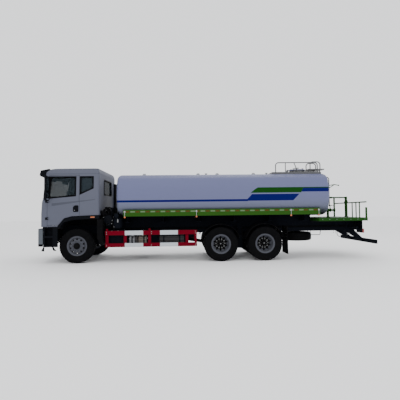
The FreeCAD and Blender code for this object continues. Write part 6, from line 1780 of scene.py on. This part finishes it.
@dataclass
class TankFittings:
    """Hatch bolts, lifting eyes, vents and marker stalks of the tank."""

    stalks: tuple[float, ...] = (-1.435, -3.614, -6.539, -7.405)
    eyes: tuple[float, ...] = (-1.9, -3.712, -4.36, -5.6)
    vents: tuple[float, ...] = (-3.984, -6.05)
    hatch_reach: float = -7.1

    def build(self) -> None:
        """Adds every fitting of the tank."""
        self.hatch()
        self.top()
        self.markers()

    def hatch(self) -> None:
        """Adds the coaming's bolts, the lid's clamps and its hand wheel."""
        x = along(self.hatch_reach)
        nuts, lid = Form(), Form()
        for spot in circle((x, 0.0, 2.812), "z", 0.288, 16, 0.5):
            nuts.bolt(spot, "z", 0.01)
        nuts.made("coaming_bolts", Finish.BRIGHT, "rail_white")
        for a, b, _ in circle((x, 0.0, 0.0), "z", 0.215, 4, 0.5):
            lid.lathe([(2.898, 0.012), (2.935, 0.012)], (a, b, 0.0), "z", 10)
            lid.block((a - 0.035, b - 0.008, 2.925), (a + 0.035, b + 0.008, 2.941), 0.004)
        lid.loop(circle((x, 0.0, 2.962), "z", 0.075, 12), 0.009, 8, 0.015)
        lid.tube([(x - 0.075, 0.0, 2.962), (x + 0.075, 0.0, 2.962)], 0.007, 8)
        lid.lathe([(2.915, 0.014), (2.962, 0.014)], (x, 0.0, 0.0), "z", 12)
        lid.hoop((2.896, 2.901), (0.246, 0.262), (x, 0.0, 0.0), "z", 48)
        lid.made("lid_fittings", Finish.PALE, "tank_paint", "manhole_lid")

    def top(self) -> None:
        """Adds the lifting eyes and the vents along the tank."""
        form, vents = Form(), Form()
        for x in map(along, self.eyes):
            outline = ((-0.075, 2.742), (0.075, 2.742), (0.04, 2.812), (-0.04, 2.812))
            form.plate([(x + dx, -0.008, z) for dx, z in outline], (0.0, 0.016, 0.0))
            form.block((x - 0.095, -0.055, 2.744), (x + 0.095, 0.055, 2.756), 0.003)
        form.made("lifting_eyes", Finish.WHITE, "tank_paint")
        profile = ((2.74, 0.03), (2.785, 0.03), (2.787, 0.046), (2.806, 0.044), (2.812, 0.02))
        for x in map(along, self.vents):
            vents.lathe(profile, (x, 0.0, 0.0), "z", 20)
        vents.made("tank_vents", Finish.BRIGHT, "tank_metal")

    def markers(self) -> None:
        """Adds the bright stalks that carry the side marker lamps."""
        form = Form()
        for x in map(along, self.stalks):
            for sign in SIGNS:
                path = ((1.134, 1.53), (1.142, 1.47), (1.142, 1.392))
                form.tube([(x, sign * y, z) for y, z in path], 0.0065, 8, 0.02)
                form.block((x - 0.022, sign * 1.129, 1.505), (x + 0.022, sign * 1.136, 1.56), 0.003)
        form.made("marker_stalks", Finish.WHITE, "marker")


@dataclass
class SideFittings:
    """Straps, caps, covers and bolts of what hangs beside the frame."""

    vessel_y: float = 0.8
    vessel_z: float = 0.665

    def build(self) -> None:
        """Adds every fitting beside the frame."""
        self.vessels()
        self.heat_shield()
        self.vessel_ends()
        self.battery()
        self.fuel()
        self.guards()
        self.frame_bolts()

    def vessels(self) -> None:
        """Adds the straps of the air tanks and the silencer."""
        straps = Form()
        y, z = self.vessel_y, self.vessel_z
        for reach, radius in (
            (-1.62, 0.13), (-1.8, 0.13), (-1.985, 0.13), (-2.6, 0.155), (-3.09, 0.155),
        ):
            x = along(reach)
            straps.hoop((-0.018, 0.018), (radius - 0.002, radius + 0.004), (x, y, z), "x", 36)
            straps.bolt((x, y, z + radius + 0.003), "z", 0.011)
            top = z + radius
            straps.block((x - 0.014, 0.79, top), (x + 0.014, 0.86, top + 0.014), 0.003)
        straps.made("vessel_straps", Finish.BLACK, "frame_black")

    def heat_shield(self) -> None:
        """Adds the ribbed plate between the silencer and the frame."""
        shield = Form()
        shield.block((0.625, 0.432, 0.475), (2.66, 0.438, 0.862), 0.002)
        shield.block((0.42, 0.432, 0.68), (0.625, 0.438, 0.862), 0.002)
        for x in (0.7, 1.3, 1.9, 2.5):
            shield.bolt((x, 0.438, 0.85), "y", 0.011)
            shield.block((x - 0.012, 0.438, 0.48), (x + 0.012, 0.446, 0.835), 0.002)
        shield.made("heat_shield", Finish.BLACK, "frame_black")

    def vessel_ends(self) -> None:
        """Adds the unions, the drain valve and the lines of the air tanks."""
        ends, lines = Form(), Form()
        for reach, out in ((-1.54, 1.0), (-2.06, -1.0)):
            union = ((-0.02, 0.02), (0.03, 0.02), (0.034, 0.014))
            ends.lathe(union, (along(reach), self.vessel_y, 0.7), "x", 14, False, out)
        drain = along(-1.72)
        ends.lathe([(-0.03, 0.016), (0.012, 0.016)], (drain, self.vessel_y, 0.53), "z", 10)
        ends.loop(circle((drain, self.vessel_y, 0.492), "z", 0.018, 4), 0.003, 6, 0.006)
        ends.made("vessel_fittings", Finish.BRIGHT, "tank_metal")
        for route in (
            ((-1.51, 0.8, 0.7), (-1.455, 0.79, 0.72), (-1.44, 0.62, 0.86), (-1.44, 0.47, 0.95)),
            ((-2.09, 0.8, 0.7), (-2.16, 0.79, 0.73), (-2.22, 0.64, 0.88), (-2.22, 0.47, 0.95)),
        ):
            lines.tube([(along(reach), y, z) for reach, y, z in route], 0.009, 8, 0.05)
        lines.made("vessel_lines", Finish.RUBBER, "rubber")

    def battery(self) -> None:
        """Adds the battery box's cover ribs, latches and cables."""
        cover, latches, cables = Form(), Form(), Form()
        for x in (2.66, 2.83, 3.0):
            cover.block((x - 0.012, 0.56, 0.978), (x + 0.012, 0.99, 0.988), 0.004)
            cover.block((x - 0.012, 1.018, 0.6), (x + 0.012, 1.028, 0.94), 0.004)
        corners = ((2.615, 0.59), (3.045, 0.59), (3.045, 0.925), (2.615, 0.925))
        cover.loop([(x, 1.021, z) for x, z in corners], 0.006, 6, 0.03)
        cover.made("battery_cover", Finish.TRIM, "frame_black")
        for x in (2.74, 2.92):
            latches.block((x - 0.014, 1.018, 0.88), (x + 0.014, 1.03, 0.965), 0.004)
            latches.bolt((x, 1.03, 0.9), "y", 0.008)
        latches.made("battery_latches", Finish.BRIGHT, "frame_black")
        for y in (0.7, 0.76):
            path = [(2.64, y, 0.965), (2.555, y, 0.97), (2.52, y - 0.1, 0.93), (2.5, 0.475, 0.96)]
            cables.tube(path, 0.01, 8, 0.05)
        cables.made("battery_cables", Finish.RUBBER, "rubber")

    def fuel(self) -> None:
        """Adds the fuel tank's straps, filler cap, sender and line."""
        straps, cap = Form(), Form()
        for x in (1.72, 2.39):
            for low, high in (
                ((-1.026, 0.52), (-1.018, 0.94)), ((-0.99, 0.977), (-0.44, 0.986)),
                ((-0.99, 0.474), (-0.44, 0.483)),
            ):
                straps.block((x - 0.022, *low), (x + 0.022, *high), 0.002)
            straps.bolt((x, -0.5, 0.986), "z", 0.012)
        straps.made("fuel_straps", Finish.BLACK, "frame_black")
        profile = ((0.976, 0.058), (0.99, 0.058), (0.992, 0.048), (1.01, 0.048), (1.014, 0.04))
        cap.lathe(profile, (2.54, -0.88, 0.0), "z", 28)
        cap.block((2.495, -0.888, 1.008), (2.585, -0.872, 1.022), 0.005)
        cap.lathe([(0.976, 0.034), (0.988, 0.034), (0.99, 0.026)], (1.98, -0.74, 0.0), "z", 20)
        cap.made("fuel_cap", Finish.BRIGHT, "tank_metal")
        path = [(1.98, -0.74, 0.985), (1.98, -0.7, 1.02), (2.05, -0.56, 1.01), (2.05, -0.47, 0.95)]
        Form().tube(path, 0.007, 8, 0.04).made("fuel_line", Finish.RUBBER, "rubber")

    def guards(self) -> None:
        """Adds the side guards' bolts and facings and the mudguard stays' bolts."""
        bolts, facing = Form(), Form()
        for sign in SIGNS:
            for reach in (-0.895, -2.24, -3.575):
                for z in (0.5, 0.53, 0.865, 0.925):
                    bolts.bolt((along(reach), sign * 1.15, z), "y", 0.01, sign)
            for x, out in ((-2.42, -1.0), (0.215, 1.0)):
                for z in (0.72, 0.8):
                    bolts.bolt((x, sign * 1.1, z), "x", 0.01, out)
            facing.block((0.337, sign * 1.1495, 0.472), (3.103, sign * 1.1545, 0.588), 0.0015)
            facing.block((0.337, sign * 1.1495, 0.588), (0.412, sign * 1.1545, 0.842), 0.0015)
        bolts.made("guard_bolts", Finish.BRIGHT, "guard_paint")
        facing.made("guard_facing", Finish.GUARD, "guard_paint")

    def frame_bolts(self) -> None:
        """Adds the rows of bolts and the lines along the frame's side members."""
        bolts, lines = Form(), Form()
        for sign in SIGNS:
            for x in (-4.78 + index * 0.215 for index in range(44)):
                if abs(x - AXLE_X) >= 0.1:
                    for z in (0.89, 1.07):
                        profile = [(0.428, 0.013), (0.4395, 0.012)]
                        bolts.lathe(profile, (x, 0.0, z), "y", 6, False, sign)
            for z in (0.965, 0.987, 1.009):
                lines.tube([(2.75, sign * 0.438, z), (-4.6, sign * 0.438, z)], 0.0075, 6)
        bolts.made("frame_bolts", Finish.CAST, "frame_black")
        lines.made("frame_lines", Finish.RUBBER, "rubber")


@dataclass
class RearFittings:
    """Lamp frames, plate, nozzles, valves and bolts at the truck's rear."""

    flange_reach: float = -8.045
    valve_reach: float = -7.965
    valve_y: float = 0.635
    cannon_x: float = -4.835

    def build(self) -> None:
        """Adds every fitting of the rear."""
        self.tail()
        self.platform()
        self.valve()
        self.nozzles()
        self.cannon()

    def tail(self) -> None:
        """Adds the tail lamps' frames, the blank plate and the reflectors."""
        frames, lights, reflectors, bolts = Form(), Form(), Form(), Form()
        for sign in SIGNS:
            low, high = sorted((sign * 0.611, sign * 0.851))
            corners = ((low, 0.781), (high, 0.781), (high, 0.902), (low, 0.902))
            frames.loop([(-4.999, y, z) for y, z in corners], 0.007, 6, 0.02)
            for y in (sign * 0.69, sign * 0.77):
                frames.block((-5.003, y - 0.003, 0.784), (-4.99, y + 0.003, 0.898), 0.001)
            reflectors.lathe([(-4.962, 0.03), (-4.952, 0.032)], (0.0, sign * 0.54, 0.845), "x", 24)
            reflectors.block((-4.9575, sign * 0.3, 1.2), (-4.9545, sign * 1.1, 1.246), 0.001)
            for y in (0.46, 0.62):
                for z in (0.7, 0.76):
                    bolts.bolt((-4.64, sign * y, z), "x", 0.012, -1.0)
            for z in (0.95, 1.15):
                bolts.bolt((-4.9555, sign * 0.8, z), "x", 0.01, -1.0)
        for y in (-0.27, 0.27):
            lights.block((-4.975, y - 0.03, 1.035), (-4.948, y + 0.03, 1.075), 0.006)
        frames.made("tail_lamp_frames", Finish.TRIM, "trim_black")
        plate = Form().block((-4.958, -0.22, 0.955), (-4.95, 0.22, 1.095), 0.002)
        plate.made("rear_plate", Finish.WHITE, "trim_black")
        lights.made("plate_lamps", Finish.TRIM, "trim_black")
        # The red reflectors glow as painted light.
        reflectors.made("rear_reflectors", Finish.RED, "marker")
        bolts.made("rear_bolts", Finish.BRIGHT, "frame_black")

    def platform(self) -> None:
        """Adds the platform's bolts, the hose hook and the spare wheel's hangers."""
        bolts, hangers = Form(), Form()
        for sign in SIGNS:
            for index in range(7):
                bolts.bolt((-4.86 + index * 0.22, sign * 1.2, 1.225), "y", 0.009, sign)
        bolts.made("platform_bolts", Finish.BRIGHT, "green_paint")
        path = ((-8.065, 1.18), (-8.06, 0.77), (-8.08, 0.7), (-8.15, 0.668), (-8.19, 0.69))
        hook = Form().tube([(along(reach), 0.9, z) for reach, z in path], 0.009, 8, 0.03)
        hook.made("hose_hook", Finish.BLACK, "frame_black")
        for y in (0.46, -0.46):
            path = ((-7.28, 0.845), (-7.3, 0.715), (-7.68, 0.712), (-7.7, 0.845))
            hangers.tube([(along(reach), y, z) for reach, z in path], 0.01, 8, 0.02)
        hangers.made("spare_hangers", Finish.BLACK, "frame_black")

    def valve(self) -> None:
        """Adds the flange bolts and the hand valve of the water pipe."""
        bolts, wheel = Form(), Form()
        x, y = along(self.valve_reach), self.valve_y
        stem = Form().lathe([(0.0, 0.016), (0.105, 0.013), (0.11, 0.008)], (x, y, 1.552), "z", 12)
        stem.block((along(-8.09), 0.624, 1.652), (along(-7.95), 0.646, 1.664), 0.004)
        stem.made("valve_stem", Finish.GREEN, "green_paint")
        wheel.loop(circle((x, y, 1.668), "z", 0.062, 14), 0.0075, 8, 0.01)
        spokes = circle((x, y, 1.668), "z", 0.06, 6)
        for end, start in zip(spokes[:3], spokes[3:]):
            wheel.tube([start, end], 0.005, 6)
        wheel.made("valve_wheel", Finish.GREEN, "green_paint")
        for out in (-1.0, 1.0):
            flange = (along(self.flange_reach) + out * 0.012, y, 1.512)
            for spot in circle(flange, "x", 0.05, 6, 0.5):
                bolts.bolt(spot, "x", 0.0065, out)
        bolts.made("flange_bolts", Finish.BRIGHT, "green_paint")

    def nozzles(self) -> None:
        """Adds the duck-bill nozzles on their pipe."""
        form = Form()
        bill = (
            (-4.795, -0.02, 0.868), (-4.795, 0.02, 0.868), (-4.885, 0.058, 0.836),
            (-4.885, -0.058, 0.836),
        )
        for y in (-0.95, -0.35, 0.35, 0.95):
            form.tube([(-4.7, y, 0.94), (-4.74, y, 0.885), (-4.8, y, 0.865)], 0.018, 12, 0.03)
            form.plate([(x, y + dy, z) for x, dy, z in bill], (0.006, 0.0, 0.016))
        form.tube([(-4.7, -1.0, 0.96), (-4.7, 1.0, 0.96)], 0.026, 14)
        form.made("rear_nozzles", Finish.BLACK, "frame_black")

    def cannon(self) -> None:
        """Adds the cannon's base bolts, slewing lock and nozzle rings."""
        base, barrel = Form(), Form()
        x = self.cannon_x
        for spot in circle((x, 0.0, 1.288), "z", 0.066, 8, 0.5):
            base.bolt(spot, "z", 0.007)
        base.made("cannon_base_bolts", Finish.BRIGHT, "green_paint")
        lock = Form().tube([(x, 0.056, 1.8), (x, 0.11, 1.812)], 0.006, 8)
        lock.lathe([(0.108, 0.016), (0.122, 0.016), (0.126, 0.01)], (x, 0.0, 1.814), "y", 14)
        lock.made("slewing_lock", Finish.TRIM, "green_paint", "cannon_turret")
        for ring in (-4.33, -4.42, -4.62):
            barrel.hoop((-0.006, 0.006), (0.0235, 0.0275), (ring, 0.0, 1.94), "x", 24)
        barrel.made("barrel_rings", Finish.BRIGHT, "green_paint", "cannon_barrel")


@dataclass
class Underbody:
    """Brake chambers, brake plates and spring clamps under the frame."""

    def build(self) -> None:
        """Adds everything under the frame."""
        self.brakes()
        self.plates()
        self.springs()

    def brakes(self) -> None:
        """Adds a brake chamber with its rod and hose at each end of each axle."""
        chambers, rings, hoses = Form(), Form(), Form()
        profile = (
            (0.0, 0.03), (0.01, 0.062), (0.035, 0.076), (0.08, 0.078), (0.125, 0.074),
            (0.15, 0.05), (0.156, 0.02),
        )
        first, second = DRIVE_X
        for axle, out, off, z in (
            (AXLE_X, -1.0, 0.4, 0.43), (first, 1.0, 0.5, 0.7), (second, -1.0, 0.5, 0.7),
        ):
            for sign in SIGNS:
                x, y = axle + out * 0.13, sign * off
                chambers.lathe(profile, (x, y, z), "x", 24, False, out)
                rings.hoop((0.068, 0.084), (0.076, 0.085), (x, y, z), "x", 24, out)
                low, high = (x - 0.02, y - 0.05, z - 0.05), (x + 0.01, y + 0.05, z + 0.04)
                chambers.block(low, high, 0.004)
                path = ((0.15, y, z), (0.2, y, z + 0.03), (0.18, sign * 0.4, 0.86))
                hoses.tube([(x + out * reach, b, c) for reach, b, c in path], 0.009, 8, 0.05)
        chambers.made("brake_chambers", Finish.CAST, "cast")
        rings.made("brake_clamps", Finish.BRIGHT, "cast")
        hoses.made("brake_hoses", Finish.RUBBER, "rubber")

    def plates(self) -> None:
        """Adds the brake plates behind the steered wheels' discs."""
        for side, sign in SIDES:
            centre = (AXLE_X, 0.0, HUB_Z)
            plate = Form().hoop((0.93, 0.937), (0.06, 0.234), centre, "y", 40, sign)
            plate.made("brake_plate_" + side, Finish.CAST, "cast", "knuckle_" + side)

    def springs(self) -> None:
        """Adds the U-bolts and the nuts that hold the leaf springs."""
        form = Form()
        inner, outer = 0.468, 0.572
        for x, low, high in (
            (3.885, 0.44, 0.76), (4.025, 0.44, 0.76), (-1.15, 0.6, 0.98), (-0.99, 0.6, 0.98),
        ):
            for sign in SIGNS:
                path = ((inner, low), (inner, high), (outer, high), (outer, low))
                form.tube([(x, sign * y, z) for y, z in path], 0.01, 8, 0.025)
                for y in (inner, outer):
                    form.bolt((x, sign * y, low + 0.01), "z", 0.014, -1.0)
        form.made("spring_clamps", Finish.CAST, "frame_black")


# Carried-over solids


NODES: dict[Finish, str] = {
    Finish.CAB: "cab_front cab_rear_wall cab_roof cab_sides door_left door_right front_flap",
    Finish.GLASS: "cab_glass door_glass_left door_glass_right",
    Finish.TRIM: "cab_trim entry_steps mirror_left mirror_right",
    Finish.BLACK: "battery_box cab_floor chassis_frame leaf_springs tank_saddles underrun_bar",
    Finish.CAST: "drive_axles engine front_axle_beam knuckle_left knuckle_right",
    Finish.GREEN: "cannon_barrel cannon_stand cannon_turret pipework rear_platform",
    Finish.TANK: "manhole_lid tank",
    Finish.BAND: "tank_skirts",
    Finish.PALE: "tank_top_rail",
    Finish.GUARD: "side_guards",
    Finish.BUMPER: "front_bumper",
    Finish.VESSEL: "air_tanks",
    Finish.METAL: "fuel_tank",
    Finish.CLEAR: "headlamps",
    Finish.LAMPS: "lamps",
    Finish.INSIDE: "dashboard",
    Finish.SEAT: "seats",
    Finish.RUBBER: "mudguards",
    Finish.TYRE: "spare_wheel",
}


class Dressing:
    """Gives every carried-over solid its finish."""

    def build(self) -> None:
        """Fills the material slots of every node."""
        finishes = {name: finish for finish, names in NODES.items() for name in names.split()}
        for name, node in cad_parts.items():
            turning = Finish.TYRE if "tyre" in name else Finish.WHEEL
            material = finishes.get(name, turning).made()
            if not node.material_slots:
                node.data.materials.append(material)
            for slot in node.material_slots:
                slot.material = material
            smoothed(node.data, 30.0)
            LOG.info("%s wears %s", name, material.name)


def main() -> None:
    """Builds the studio and the truck's looks in order."""
    logging.basicConfig(level=logging.INFO, format="%(name)s: %(message)s")
    for group in (
        Studio, Dressing, Wheels, CabFittings, CabRear, TankFittings, SideFittings, RearFittings,
        Underbody,
    ):
        group().build()


if __name__ == "__main__":
    main()
